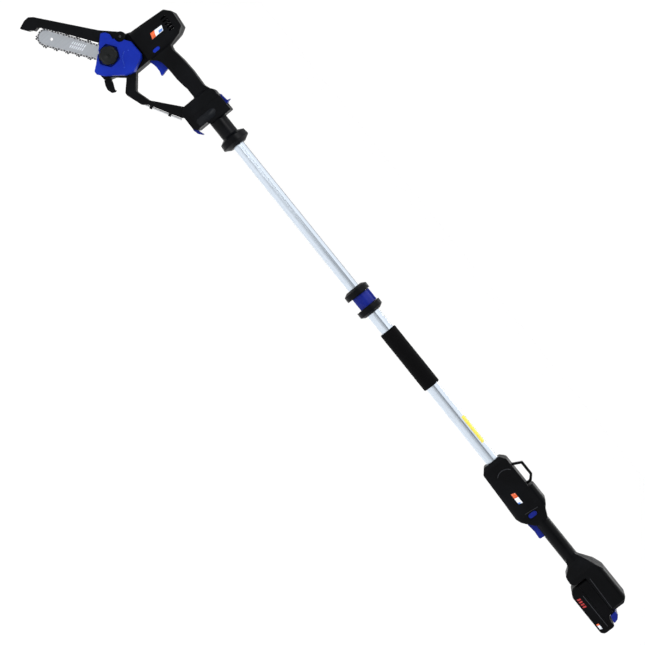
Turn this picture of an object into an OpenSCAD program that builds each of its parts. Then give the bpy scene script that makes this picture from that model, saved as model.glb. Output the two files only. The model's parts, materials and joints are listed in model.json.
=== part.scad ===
// Telescoping pole saw. Millimetres, +Z up. The pole lies along X with the saw towards -X,
// the battery towards +X, and the origin at the middle of the foam grip on the pole's axis.
// The chain, its cover and the clamp knob are on the -Y side.

/* [Pole] */
// Outside diameter of the outer tube
outer_d = 32; // [28:0.5:38]
// Wall of both tubes
tube_wall = 1.5; // [1.2:0.1:2]
// Radial gap between the two tubes
tube_gap = 0.5; // [0.4:0.1:0.8]
// Length of inner tube that shows when the pole is drawn out
pole_out = 430; // [400:10:560]
// Length of inner tube that stays inside the outer tube when drawn out
pole_overlap = 90; // [75:5:120]
// Bare outer tube between the foam grip and the lock
lock_gap = 54; // [40:1:80]
// Bare outer tube between the foam grip and the control box
rear_gap = 225; // [180:5:280]

/* [Foam grip] */
// Length of the foam grip
foam_len = 166; // [120:2:200]
// Outside diameter of the foam grip
foam_d = 43; // [40:1:50]

/* [Pole lock] */
// Length of the lock along the pole
lock_len = 73; // [65:1:85]
// Diameter of the lock's two collars
collar_d = 63; // [58:1:72]
// Width of each collar along the pole
collar_w = 20; // [17:0.5:24]
// Thickness of the blue lever's wall
lever_wall = 3.6; // [3:0.2:4.5]

/* [Adapter] */
// Length of the adapter from the saw's rear face to the pole end of its flange
adapter_len = 116; // [108:1:130]
// Diameter of the adapter's neck
neck_d = 42; // [39:0.5:46]
// Diameter of the adapter's flange
adapter_flange_d = 71; // [62:1:80]
// How deep the inner tube sits in the adapter
socket_depth = 70; // [50:1:74]

/* [Saw] */
// Distance from the adapter joint to the motor's axis
motor_back = 205; // [196:1:225]
// Diameter of the motor's can
motor_d = 42; // [36:1:46]
// Width of the motor housing across Y
barrel_w = 60; // [56:1:68]
// Width of the saw's grip across Y
grip_w = 36; // [32:1:42]
// Wall of every moulded shell
shell = 2.5; // [2:0.1:3]
// Thickness of the saw's lower hand guard across Y
hoop_w = 26; // [20:1:32]

/* [Bar and chain] */
// Distance from the clamp knob's axis to the middle of the bar's nose
bar_reach = 160; // [120:2:200]
// Width of the bar
bar_w = 33; // [30:1:36]
// Thickness of the bar
bar_t = 3.2; // [2.5:0.1:4]
// Angle of the bar below the pole's axis, in degrees
bar_angle = 35; // [33:1:37]
// Teeth of the drive sprocket
sprocket_teeth = 7; // [6:1:8]

/* [Rear handle] */
// Length of the control box
box_len = 160; // [150:2:190]
// Width of the control box across Y
box_w = 54; // [50:1:64]
// Length of the rear grip between the box and the battery dock
rear_grip_len = 116; // [100:2:150]
// Diameter of the rear grip
rear_grip_d = 36; // [33:1:40]

/* [Battery] */
// Length of the battery dock
dock_len = 148; // [144:1:170]
// Width of the battery pack and its dock across Y
pack_w = 74; // [72:1:84]
// Height of the battery pack below its rails
pack_h = 37; // [34:1:46]

/* [Hidden] */

// Clearances, radial or per side
run = 0.05;        // a shaft turning or a button sliding in its bore
free = 0.4;        // moving pieces that pass each other
loose = 1;         // pieces that must never touch

// Housing screws, along Y
screw_r = 1.6;
screw_head_r = 3.3;
screw_head_h = 2.4;
screw_seat = 7;
screw_tip = -11;
boss_r = 4.6;

// Colours
near_black = [0.07, 0.07, 0.08];
soft_black = [0.12, 0.12, 0.13];
tool_blue = [0.08, 0.18, 0.72];
steel = [0.66, 0.67, 0.70];
pale_metal = [0.85, 0.87, 0.90];

// Places along the pole
foam_end = foam_len / 2;
lock_back = -foam_end - lock_gap;
lock_front = lock_back - lock_len;
lock_mid = (lock_back + lock_front) / 2;
head_end = lock_front - pole_out;
head_x = head_end - adapter_len;
rear_x = foam_end + rear_gap;

// Tubes
inner_d = outer_d - 2 * tube_wall - 2 * tube_gap;
inner_front = head_end - socket_depth;
inner_back = lock_mid + pole_overlap;
outer_front = lock_mid + 2;
rear_socket = 40;
outer_back = rear_x + rear_socket;
key_angle = 18;
key_w = 2.4;
key_depth = 1.2;
inner_key_w = key_w + 2 * tube_wall + 2 * free;
inner_key_depth = key_depth - tube_gap + free;
lead_d = 5.5;
coil_d = 17;
coil_bore = 9;
coil_back = outer_back - 4;

// Lock
sleeve_wall = 2.6;
sleeve_r = outer_d / 2 + sleeve_wall;
lever_r = sleeve_r + free;
lever_out = lever_r + lever_wall;
lever_w = lock_len - 2 * collar_w - 2 * free;
pin_r = 2;
knuckle_r = 4;
pin_z = lever_r + knuckle_r;
lever_end_angle = -54;

// Saw, in the head's frame: x = 0 at the adapter joint
spindle_z = -81.5;
motor_x = -motor_back;
stud_gap = 34;
stud_x = motor_x - stud_gap * cos(bar_angle);
stud_z = spindle_z - stud_gap * sin(bar_angle);
barrel_x0 = motor_x - 43;
barrel_x1 = motor_x + 41;
barrel_top = 78;
barrel_corner = 20;
case_y = -17;
case_back = 26;
base_w = 48;
base_len = 33;
base_top = 39;
base_bottom = -57;
grip_top = 28;
grip_bottom = -15;
grip_corner = 13;

// Bar, chain and cover, along Y
bar_y = case_y - 6.6;
pad_y = bar_y + bar_t / 2;
chain_t = 6;
chain_h = 4;
cutter_h = 4;
cutter_pitch = 12.7;
sprocket_r = cutter_pitch * sprocket_teeth / (2 * PI);
nose_r = bar_w / 2;
cover_y = -42;
well_floor = -33;
cover_wall = 3;
stud_r = 4;
slot_l = 20;
knob_r = 22;
knob_y = -49;
tension_u = -2;
tension_v = 11;
chain_gap = 0.3;
inner_at_drive = sprocket_r - 2 + 2 * chain_gap;
inner_at_nose = nose_r + chain_gap;
run_len = stud_gap + bar_reach;
run_slope = asin((inner_at_nose - inner_at_drive) / run_len);
bar_tail = sprocket_r + 5.5 - stud_gap;

// Bar guard
guard_x = motor_x - 46;
guard_z = -53;
guard_knuckle = 12;
guard_pin_r = 3;
guard_near = -35;
guard_far = guard_near + 25;
guard_wall = 3;
// Places on the guard, from the clamp knob: its pivot, its reach and its hooked tip
guard_u = -(guard_x - stud_x) * cos(bar_angle) - (guard_z - stud_z) * sin(bar_angle);
guard_v = -(guard_x - stud_x) * sin(bar_angle) + (guard_z - stud_z) * cos(bar_angle);
guard_root_u = 34;
hook_u = bar_reach + nose_r + chain_h + cutter_h + 3;

// Motor and gears
can_wall = 2;
can_z0 = -32;
can_z1 = 38;
shaft_r = 2.5;
spindle_r = 4;
gear_module = 1.5;
pinion_teeth = 10;
gear_teeth = 30;
pinion_r = gear_module * pinion_teeth / 2;
gear_r = gear_module * gear_teeth / 2;
tooth_h = 1.1;
tooth_root = 1.5;
face_w = 5;
pinion_z0 = spindle_z + gear_r - face_w / 2 - 0.5;

// Saw trigger and lock-off
trig_pivot = [motor_x + 44, -9];
trig_w = 13;
trig_pin_r = 2.5;
trig_pin_end = 11;
trig_eye_r = 5.5;
saw_spring_x = trig_pivot[0] + 26;
saw_switch_at = [trig_pivot[0] + 12, trig_pivot[1] + 6];
saw_switch_size = [30, 12, 12];
spring_r = 3;
spring_wire_r = 0.5;
spring_seat = 4;
spring_roof = 11;
spring_pocket_r = 4;
off_x = motor_x + 30;
off_z = -7;
saw_off_r = 4;
saw_off_h = 19;

// Hex key under the hand guard
key_r = 2.3;
key_at = [-95, -111.5];
key_slope = 29.2;
key_len = 92;
key_clip_w = 7;
key_clips_at = [10, 58];

// Adapter
slab_w = 52;
slab_top = 41;
slab_bottom = -57;
slab_len = 42;
foot_len = 31;
latch_w = 17;
latch_sink = 6;
latch_travel = 4;
plug_len = 24;
plug_w = 28;
plug_top = 12;
plug_bottom = -20;

// Rear handle, in the rear's frame: x = 0 at the control box's front face
box_top = 31;
box_bottom = -41;
hump_top = 43;
rear_grip_z = 2;
grip_x1 = box_len + 22 + rear_grip_len;
dock_top = 48;
dock_floor = 2;
lobe_bottom = -35;
lobe_len = 46;
rear_off_x = box_len - 6;
rear_off_z = -2.5;
rear_off_r = 5.5;
rear_off_h = 22;
blades_at = [-12, 0, 12];
blade_t = 1.2;
rear_pivot = [box_len + 50, -8];
rear_spring_x = rear_pivot[0] - 26;
rear_switch_at = [rear_pivot[0] - 40, rear_pivot[1] + 6];
rear_switch_size = [28, 12, 12];
board_z = -18;
board_t = 1.6;
strap_x0 = 35;
strap_x1 = box_len - 69;
strap_rise = 24;
strap_bar = 6;
strap_w = 10;
strap_sink = 8;

// Battery, hung under the dock
pack_x0 = grip_x1 + lobe_len + 3;
pack_len = 130;
pack_x1 = pack_x0 + pack_len;
rail_top = dock_floor - free;
rail_h = 16;
pack_top = dock_floor - rail_h;
pack_bottom = pack_top - pack_h;
split_z = pack_top - 9;
rail_w = 30;
rail_cap_w = 44;
rail_cap_t = 4;
rail_cap_z = dock_floor + shell + free;
button_w = pack_w - 2;
button_x = grip_x1 + dock_len + 3;
cell_d = 18;
cell_len = 65;
cell_count = 5;

// ---------- Helpers ----------

module in_head() { translate([head_x, 0, 0]) children(); }

module in_rear() { translate([rear_x, 0, 0]) children(); }

// Draws a side view, x and z, and carries it across Y from y0 to y1
module across(y0, y1) {
    rotate([90, 0, 0])
        translate([0, 0, -y1])
            linear_extrude(y1 - y0)
                children();
}

// Draws a section, y and z, and carries it along X from x0 to x1
module along(x0, x1) {
    translate([x0, 0, 0])
        rotate([90, 0, 90])
            linear_extrude(x1 - x0)
                children();
}

// Draws a plan, x and y, and carries it up Z from z0 to z1
module upward(z0, z1) {
    translate([0, 0, z0])
        linear_extrude(z1 - z0)
            children();
}

// Side view drawn from the clamp knob: x towards the bar's nose, y towards the bar's upper edge
module from_stud() {
    translate([stud_x, stud_z])
        rotate(bar_angle)
            mirror([1, 0])
                children();
}

module eased(r) {
    offset(r, $fn = 24)
        offset(-r, $fn = 24)
            children();
}

module rounded_rect(x0, y0, x1, y1, r) {
    translate([x0 + r, y0 + r])
        offset(r, $fn = 32)
            square([x1 - x0 - 2 * r, y1 - y0 - 2 * r]);
}

// Solid of revolution about the pole's axis, from a profile of [x, radius] points
module turned(profile, fn = 96) {
    rotate([0, 90, 0])
        rotate_extrude($fn = fn)
            polygon([for (p = profile) [p[1], p[0]]]);
}

module rod_x(x0, x1, r, fn = 64) {
    translate([x0, 0, 0])
        rotate([0, 90, 0])
            cylinder(h = x1 - x0, r = r, $fn = fn);
}

module rod_y(x, z, y0, y1, r, fn = 48) {
    translate([x, y1, z])
        rotate([90, 0, 0])
            cylinder(h = y1 - y0, r = r, $fn = fn);
}

module rod_z(x, y, z0, z1, r, fn = 64) {
    translate([x, y, z0])
        cylinder(h = z1 - z0, r = r, $fn = fn);
}

// Keeps what lies on one side of the parting plane: side is -1 for -Y and 1 for +Y
module one_half(side) {
    reach = 400;
    intersection() {
        children();
        translate([-reach, side < 0 ? -reach : 0, -reach])
            cube([3 * reach, reach, 2 * reach]);
    }
}

// A housing screw, put in from +Y, whose head sits at the foot of a counterbore near the parting plane
module screw(x, z) {
    rod_y(x, z, screw_seat, screw_seat + screw_head_h, screw_head_r, 32);
    rod_y(x, z, screw_tip, screw_seat, screw_r, 32);
}

module screw_bore(x, z, skin) {
    rod_y(x, z, screw_seat, skin + loose, screw_head_r + 0.2, 32);
    rod_y(x, z, screw_tip - 0.5, screw_seat, screw_r, 32);
}

module screw_boss(x, z, near, far) {
    rod_y(x, z, near, far, boss_r, 32);
}

// A coil spring along Z made of one wire
module coil_spring(r, wire_r, turns, height) {
    steps = 12;
    sides = 6;
    rings = turns * steps;
    points = [
        for (i = [0:rings])
            for (j = [0:sides - 1])
                let (turn = 360 * i / steps, around = 360 * j / sides, reach = r + wire_r * cos(around))
                    [reach * cos(turn), reach * sin(turn), height * i / rings + wire_r * sin(around)]
    ];
    skin = [
        for (i = [0:rings - 1])
            for (j = [0:sides - 1])
                let (a = i * sides + j, b = i * sides + (j + 1) % sides)
                    [a, a + sides, b + sides, b]
    ];
    first = [for (j = [0:sides - 1]) j];
    last = [for (j = [sides - 1:-1:0]) rings * sides + j];
    polyhedron(points, concat(skin, [first, last]), convexity = turns + 2);
}

// ---------- Pole ----------

// A bar along the wall of a tube, on the key's line, from radius r0 to radius r1
module key_bar(x0, x1, r0, r1, w) {
    rotate([-key_angle, 0, 0])
        translate([x0, -r1, -w / 2])
            cube([x1 - x0, r1 - r0, w]);
}

// A tube with a shallow groove outside and a rib inside, which keep the two tubes from turning
module keyed_tube(x0, x1, r, groove_w, groove_depth) {
    bore = r - tube_wall;
    difference() {
        rod_x(x0, x1, r, 96);
        difference() {
            rod_x(x0 - 1, x1 + 1, bore, 96);
            key_bar(x0 - 2, x1 + 2, bore - groove_depth, r, groove_w + 2 * tube_wall);
        }
        key_bar(x0 - 1, x1 + 1, r - groove_depth, r + 1, groove_w);
    }
}

module outer_tube() {
    color(pale_metal)
        keyed_tube(outer_front, outer_back, outer_d / 2, key_w, key_depth);
}

module inner_tube() {
    color(pale_metal)
        keyed_tube(inner_front, inner_back, inner_d / 2, inner_key_w, inner_key_depth);
}

// Plastic guide on the hidden end of the inner tube
module tube_bush() {
    plug_in = 12;
    lip = 5;
    plug_r = inner_d / 2 - tube_wall - inner_key_depth - run;
    outer_bore = outer_d / 2 - tube_wall;
    color(soft_black)
        difference() {
            union() {
                rod_x(inner_back - plug_in, inner_back, plug_r);
                rod_x(inner_back, inner_back + lip, outer_bore - free);
            }
            rod_x(inner_back - plug_in - 1, inner_back + lip + 1, plug_r - 1.6);
            key_bar(
                inner_back, inner_back + lip + 1,
                outer_bore - key_depth - free, outer_bore + 1, inner_key_w
            );
        }
}

module foam_grip() {
    ease = 3;
    color(soft_black)
        difference() {
            turned([
                [-foam_end, 0], [-foam_end, foam_d / 2 - ease], [-foam_end + ease, foam_d / 2],
                [foam_end - ease, foam_d / 2], [foam_end, foam_d / 2 - ease], [foam_end, 0]
            ]);
            rod_x(-foam_end - 1, foam_end + 1, outer_d / 2, 96);
        }
}

// Blank sticker on the upper part of the outer tube
module tube_label() {
    label_len = 78;
    label_t = 0.3;
    label_x = foam_end + 99;
    color([0.85, 0.8, 0.35])
        rotate([35, 0, 0])
            intersection() {
                difference() {
                    rod_x(label_x, label_x + label_len, outer_d / 2 + label_t, 96);
                    rod_x(label_x - 1, label_x + label_len + 1, outer_d / 2, 96);
                }
                translate([label_x - 1, -6, 0])
                    cube([label_len + 2, 12, outer_d]);
            }
}

// ---------- Pole lock ----------

module collar_profile(x0, x1, face_r) {
    bevel = collar_w * 0.3;
    outward = x1 > x0 ? 1 : -1;
    turned([
        [x0, 0], [x0, collar_d / 2], [x1 - outward * bevel, collar_d / 2], [x1, face_r], [x1, 0]
    ]);
}

module lock_collar() {
    color(near_black)
        difference() {
            union() {
                collar_profile(lock_front + collar_w, lock_front, 21);
                collar_profile(lock_back - collar_w, lock_back, 21);
                rod_x(lock_front + collar_w / 2, lock_back - collar_w / 2, sleeve_r, 96);
            }
            rod_x(outer_front - 1, lock_back + 1, outer_d / 2, 96);
            rod_x(lock_front - 1, outer_front, inner_d / 2 + free, 96);
            rod_x(lock_front + 5, outer_front, outer_d / 2, 96);
            translate([0, 0, pin_z])
                rod_x(lock_front + 6, lock_back - 6, pin_r + run, 32);
        }
}

// Split ring that the collar squeezes on the inner tube
module clamp_ring() {
    slit = 3;
    color(soft_black)
        difference() {
            rod_x(lock_front + 5, outer_front, outer_d / 2, 96);
            rod_x(lock_front + 4, outer_front + 1, inner_d / 2 + free, 96);
            translate([lock_front + 4, -slit / 2, 0])
                cube([outer_front - lock_front, slit, outer_d]);
        }
}

module lever_pin() {
    color(steel)
        translate([0, 0, pin_z])
            rod_x(lock_front + 7, lock_back - 7, pin_r, 32);
}

// Blue flip lever: a shell that wraps the -Y side of the lock and swings up about its pin
module lock_lever() {
    x0 = lock_mid - lever_w / 2;
    x1 = lock_mid + lever_w / 2;
    far = lever_out * 3;
    pad_len = 15;
    color(tool_blue)
        difference() {
            union() {
                intersection() {
                    difference() {
                        rod_x(x0, x1, lever_out, 96);
                        rod_x(x0 - 1, x1 + 1, lever_r, 96);
                    }
                    along(x0 - 1, x1 + 1)
                        polygon([
                            [0, 0], [0, far], [-far, far], [-far, far * tan(lever_end_angle)]
                        ]);
                }
                translate([0, 0, pin_z])
                    rod_x(x0, x1, knuckle_r, 48);
            }
            translate([0, 0, pin_z])
                rod_x(x0 - 1, x1 + 1, pin_r + run, 32);
            translate([lock_mid - pad_len / 2, -lever_out - 1, -9])
                cube([pad_len, 2, 18]);
        }
}

// ---------- Cable inside the pole ----------

// The coiled part lies in the outer tube and draws out with the pole
module coiled_cable() {
    color(soft_black)
        difference() {
            rod_x(inner_back + 8, coil_back, coil_d / 2);
            rod_x(inner_back + 7, coil_back + 1, coil_bore / 2);
        }
}

module cable_lead() {
    color(soft_black)
        rod_x(head_x + 12, inner_back + 8, lead_d / 2, 32);
}

// ---------- Adapter ----------

adapter_screws_at = [[9, 29], [9, -44], [35, 29], [24, -33]];

module adapter_body() {
    nr = neck_d / 2;
    fr = adapter_flange_d / 2;
    union() {
        intersection() {
            across(-slab_w / 2, slab_w / 2)
                eased(2.5)
                    polygon([
                        [0, slab_bottom], [foot_len - 7, slab_bottom], [foot_len, slab_bottom + 7],
                        [foot_len, -nr], [slab_len, -nr + 4], [slab_len, slab_top], [0, slab_top]
                    ]);
            upward(slab_bottom - 1, slab_top + 1)
                rounded_rect(-12, -slab_w / 2, slab_len, slab_w / 2, 9);
        }
        turned([
            [foot_len - 8, 0], [foot_len - 8, nr], [adapter_len - 30, nr], [adapter_len - 23, fr - 1.5],
            [adapter_len - 8, fr], [adapter_len, nr + 0.5], [adapter_len, 0]
        ]);
    }
}

module adapter_whole() {
    skin = slab_w / 2;
    hollow = 4;
    difference() {
        adapter_body();
        difference() {
            across(-skin + shell, skin - shell)
                polygon([
                    [hollow, slab_bottom + 14], [foot_len - hollow, slab_bottom + 14],
                    [foot_len - hollow, neck_d / 2 + 8], [hollow, neck_d / 2 + 8]
                ]);
            for (p = adapter_screws_at)
                screw_boss(p[0], p[1], -skin, skin);
        }
        rod_x(adapter_len - socket_depth, adapter_len + 1, inner_d / 2, 96);
        rod_x(foot_len - 6, adapter_len - socket_depth + 1, inner_d / 2 - tube_wall - inner_key_depth, 64);
        translate([-1, -plug_w / 2, plug_bottom])
            cube([12, plug_w, plug_top - plug_bottom]);
        across(-latch_w / 2 - free, latch_w / 2 + free)
            union() {
                translate([-2, slab_top - latch_sink])
                    square([28 + latch_travel, 20]);
                translate([10 - latch_travel, slab_bottom - 2])
                    square([foot_len, 2 + latch_sink]);
            }
        for (p = adapter_screws_at)
            screw_bore(p[0], p[1], skin);
    }
}

module adapter_left() { color(near_black) in_head() one_half(-1) adapter_whole(); }

module adapter_right() { color(near_black) in_head() one_half(1) adapter_whole(); }

// The tongue that enters the saw's base and carries the contacts
module adapter_plug() {
    color(soft_black)
        in_head()
            difference() {
                translate([-plug_len, -plug_w / 2, plug_bottom])
                    cube([plug_len + 11, plug_w, plug_top - plug_bottom]);
                for (z = [-12, 4])
                    translate([-plug_len - 1, -plug_w / 2 + 5, z - 1])
                        cube([14, plug_w - 10, 2]);
            }
}

module adapter_screws() {
    color(steel)
        in_head()
            for (p = adapter_screws_at)
                screw(p[0], p[1]);
}

module upper_latch() {
    z0 = slab_top - latch_sink + free;
    nose_z = max(slab_top, base_top) + free;
    color(tool_blue)
        in_head()
            across(-latch_w / 2, latch_w / 2)
                polygon([
                    [free, z0], [free, nose_z], [-3, nose_z], [-3, nose_z + 2], [15, nose_z + 4],
                    [19, nose_z + 6], [20.5, nose_z + 13], [22, nose_z + 5], [24, nose_z + 3], [24, z0]
                ]);
}

module lower_latch() {
    z1 = slab_bottom + latch_sink - free;
    color(tool_blue)
        in_head()
            across(-latch_w / 2, latch_w / 2)
                polygon([
                    [10 + free, z1], [foot_len + 2, z1], [foot_len + 13, slab_bottom + 10],
                    [foot_len + 14, slab_bottom + 7.5], [foot_len + 5, slab_bottom],
                    [foot_len - 7, slab_bottom - 3], [10 + free, slab_bottom - 1]
                ]);
}

// ---------- Saw housing ----------

// Each screw's place, and the skins on the -Y and +Y sides that its boss runs between
saw_screws_at = [
    [motor_x - 22, 60, -barrel_w / 2, barrel_w / 2], [motor_x + 22, 60, -barrel_w / 2, barrel_w / 2],
    [-88, 7, -grip_w / 2, grip_w / 2], [-50, 14, -grip_w / 2, grip_w / 2],
    [-16, 27, -base_w / 2, base_w / 2], [-16, -42, -base_w / 2, base_w / 2],
    [motor_x + 31, spindle_z + 2, case_y, case_back], [motor_x + 4, stud_z - 36, case_y, case_back]
];

module barrel_outline() {
    eased(4)
        polygon([
            [barrel_x0 + 1, -36], [barrel_x0 + 12, barrel_top - 14], [barrel_x0 + 28, barrel_top],
            [barrel_x1 - 16, barrel_top - 4], [barrel_x1 - 6, barrel_top - 20],
            [barrel_x1 + 1, 24], [barrel_x1, -36]
        ]);
}

module grip_outline() {
    eased(6)
        polygon([
            [barrel_x1 - 20, 30], [barrel_x1 + 2, 24], [barrel_x1 + 12, 22], [-124, 26],
            [-88, grip_top], [-44, 26],
            [-31, 31], [-20, base_top], [0, base_top], [0, grip_bottom + 4], [-36, -10],
            [-42, -5], [-66, -11],
            [-90, grip_bottom + 1], [-124, grip_bottom], [barrel_x1 + 20, -17], [barrel_x1 + 8, -23],
            [barrel_x1 - 1, -34], [barrel_x1 - 20, -36]
        ]);
}

module base_outline() {
    eased(4)
        polygon([
            [-base_len, 20], [-20, base_top], [6, base_top], [6, base_bottom], [-18, base_bottom],
            [-base_len, -42], [-base_len, -12]
        ]);
}

module case_outline() {
    eased(3)
        polygon([
            [motor_x + 37, -34], [motor_x + 37, spindle_z - 18], [motor_x + 12, stud_z - 27],
            [motor_x + 6, stud_z - 47], [stud_x + 8, stud_z - 49], [stud_x - 9, stud_z - 30],
            [stud_x - 27, stud_z + 1], [guard_x - 8, guard_z - 8], [guard_x + 4, -30], [motor_x, -20]
        ]);
}

// The hand guard hoop below the grip, as a band between an outer and an inner outline
module hoop_outline() {
    eased(4)
        difference() {
            polygon([
                [motor_x + 20, -90], [motor_x + 33, -105], [-146, -130], [-138, -130],
                [-100, -117], [-94, -107],
                [-54, -84.5], [-16, -63], [-10, -45], [-26, -25], [-26, 0], [motor_x + 30, 0]
            ]);
            polygon([
                [motor_x + 37, -10], [motor_x + 37, -78], [-134, -107], [-128, -106], [-98, -97],
                [-78, -80], [-base_len, -42], [-base_len, -10]
            ]);
        }
}

module saw_outer(inset) {
    union() {
        intersection() {
            across(-barrel_w / 2 + inset, barrel_w / 2 - inset)
                offset(delta = -inset)
                    barrel_outline();
            upward(-40, barrel_top + 1)
                offset(delta = -inset)
                    rounded_rect(barrel_x0, -barrel_w / 2, barrel_x1 + 1, barrel_w / 2, barrel_corner);
        }
        intersection() {
            across(-grip_w / 2 + inset, grip_w / 2 - inset)
                offset(delta = -inset)
                    grip_outline();
            along(barrel_x1 - 40, -inset)
                offset(delta = -inset)
                    rounded_rect(-grip_w / 2, -40, grip_w / 2, base_top + 6, grip_corner);
        }
        intersection() {
            across(-base_w / 2 + inset, base_w / 2 - inset)
                offset(delta = -inset)
                    base_outline();
            upward(base_bottom - 1, base_top + 1)
                rounded_rect(-base_len + inset, -base_w / 2 + inset, 12, base_w / 2 - inset, 8);
            translate([-200, -100, -100])
                cube([200 - inset, 200, 200]);
        }
        across(case_y + inset, case_back - inset)
            offset(delta = -inset)
                case_outline();
    }
}

module switch_box(at, size) {
    translate([at[0], -size[1] / 2, at[1]])
        cube(size);
}

module switch_pads(at, size, wide) {
    for (x = [at[0] + 1, at[0] + size[0] - 7])
        translate([x, -wide / 2, at[1] + 2])
            cube([6, wide, size[2] - 4]);
}

module saw_bosses() {
    for (p = saw_screws_at)
        screw_boss(p[0], p[1], p[2] + 1, p[3] - 1);
    // cradles round the motor
    for (z = [can_z0 + 5, can_z1 - 9])
        upward(z, z + 3)
            translate([barrel_x0, -barrel_w / 2 + 1])
                square([barrel_x1 - barrel_x0 - 4, barrel_w - 2]);
    // bearing seats
    rod_y(motor_x, spindle_z, case_y + 1, case_y + 9, 14);
    rod_y(motor_x, spindle_z, case_back - 9, case_back - 1, 14);
    // eyes for the trigger's stub axles, and pads that hold the switch
    rod_y(trig_pivot[0], trig_pivot[1], -grip_w / 2 + 1, grip_w / 2 - 1, trig_eye_r + 1);
    switch_pads(saw_switch_at, saw_switch_size, grip_w - 2);
    // land that the stud and the guard's pin are set in
    rod_y(stud_x, stud_z, case_y + 1, -4, 9);
    rod_y(guard_x, guard_z, case_y + 1, -4, 7);
}

module saw_body() {
    difference() {
        union() {
            difference() {
                saw_outer(0);
                difference() {
                    saw_outer(shell);
                    saw_bosses();
                }
            }
            across(-hoop_w / 2, hoop_w / 2)
                difference() {
                    hoop_outline();
                    offset(delta = -shell)
                        union() {
                            case_outline();
                            grip_outline();
                            base_outline();
                            barrel_outline();
                        }
                }
            key_clips();
            // bar pad
            across(pad_y, case_y + 1)
                from_stud()
                    rounded_rect(-13, -8, 13, 8, 4);
        }
        saw_openings();
    }
}

module saw_openings() {
    // motor
    rod_z(motor_x, 0, can_z0, can_z1, motor_d / 2);
    // bearings and spindle
    rod_y(motor_x, spindle_z, case_y + 1.5, case_y + 10, 11);
    rod_y(motor_x, spindle_z, case_y - 1, case_y + 2, spindle_r + free);
    rod_y(motor_x, spindle_z, case_back - 10, case_back - 2, 11);
    // stud, tensioner and guard pin
    rod_y(stud_x, stud_z, pad_y - 1, -5, stud_r);
    across(pad_y - 1, case_y + 6)
        from_stud()
            translate([tension_u, tension_v])
                circle(r = 2, $fn = 32);
    rod_y(guard_x, guard_z, case_y - 1, -5, guard_pin_r);
    // trigger slot and its pin
    across(-trig_w / 2 - free, trig_w / 2 + free)
        polygon([
            [trig_pivot[0] - 7, -42], [trig_pivot[0] - 7, trig_pivot[1] + 7],
            [trig_pivot[0] + 10, trig_pivot[1] + 7], [trig_pivot[0] + 48, -6], [trig_pivot[0] + 48, -42]
        ]);
    rod_y(trig_pivot[0], trig_pivot[1], -trig_pin_end, trig_pin_end, trig_pin_r + run);
    switch_box(saw_switch_at, saw_switch_size);
    // lock-off button
    translate([off_x, 0, off_z])
        rotate([90, 0, 0])
            linear_extrude(3 * barrel_w, center = true)
                lock_off_outline(run, saw_off_r, saw_off_h);
    // hex key
    along_key()
        key_leg(key_r + free, -5, key_len + 5);
    // socket for the adapter's plug
    translate([-plug_len - 2, -plug_w / 2 - free, plug_bottom - free])
        cube([plug_len + 3, plug_w + 2 * free, plug_top - plug_bottom + 2 * free]);
    // cooling vents in both flanks
    for (side = [-1, 1])
        for (i = [0:4])
            translate([motor_x - 16 + 8 * i, side * barrel_w / 2, 52])
                cube([3, 4 * shell, 16], center = true);
    // screws
    for (p = saw_screws_at)
        screw_bore(p[0], p[1], p[3]);
}

module lock_off_outline(grow, r, tall) {
    hull()
        for (z = [r - tall / 2, tall / 2 - r])
            translate([0, z])
                circle(r = r + grow, $fn = 32);
}

module saw_housing_left() { color(near_black) in_head() one_half(-1) saw_body(); }

module saw_housing_right() { color(near_black) in_head() one_half(1) saw_body(); }

module saw_screws() {
    color(steel)
        in_head()
            for (p = saw_screws_at)
                screw(p[0], p[1]);
}

// Blank badge on the motor housing
module saw_badge() {
    badge_t = 0.6;
    color([0.8, 0.8, 0.82])
        in_head()
            across(-barrel_w / 2 - badge_t, -barrel_w / 2)
                polygon([[motor_x - 7, 6], [motor_x + 7, 1], [motor_x + 7, 34], [motor_x - 5, 39]]);
}

module saw_terminals() {
    color([0.8, 0.6, 0.3])
        in_head()
            for (z = [-12, 4])
                translate([-plug_len - 1.5, -plug_w / 2 + 5.5, z - 0.5])
                    cube([12, plug_w - 11, 1]);
}

// ---------- Motor and drive ----------

module motor_can() {
    r = motor_d / 2;
    color(steel)
        in_head()
            difference() {
                rod_z(motor_x, 0, can_z0, can_z1, r);
                rod_z(motor_x, 0, can_z0 + can_wall, can_z1 - can_wall, r - can_wall);
                rod_z(motor_x, 0, can_z0 - 1, can_z1 + 1, 7);
            }
}

module motor_bearings() {
    color(steel)
        in_head()
            for (z = [can_z0, can_z1 - 5])
                difference() {
                    rod_z(motor_x, 0, z, z + 5, 7);
                    rod_z(motor_x, 0, z - 1, z + 6, shaft_r + run);
                }
}

module rotor() {
    r = motor_d / 2 - can_wall - 1.5;
    slots = 5;
    color([0.55, 0.35, 0.2])
        in_head() {
            difference() {
                rod_z(motor_x, 0, can_z0 + 12, can_z1 - 12, r);
                for (i = [0:slots - 1])
                    translate([motor_x, 0, 0])
                        rotate([0, 0, 360 * i / slots])
                            translate([r - 5, -1.5, can_z0 + 11])
                                cube([10, 3, can_z1 - can_z0]);
            }
            rod_z(motor_x, 0, pinion_z0 - 0.5, can_z0 + 12, shaft_r);
            rod_z(motor_x, 0, can_z1 - 12, can_z1 + 2, shaft_r);
        }
}

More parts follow.
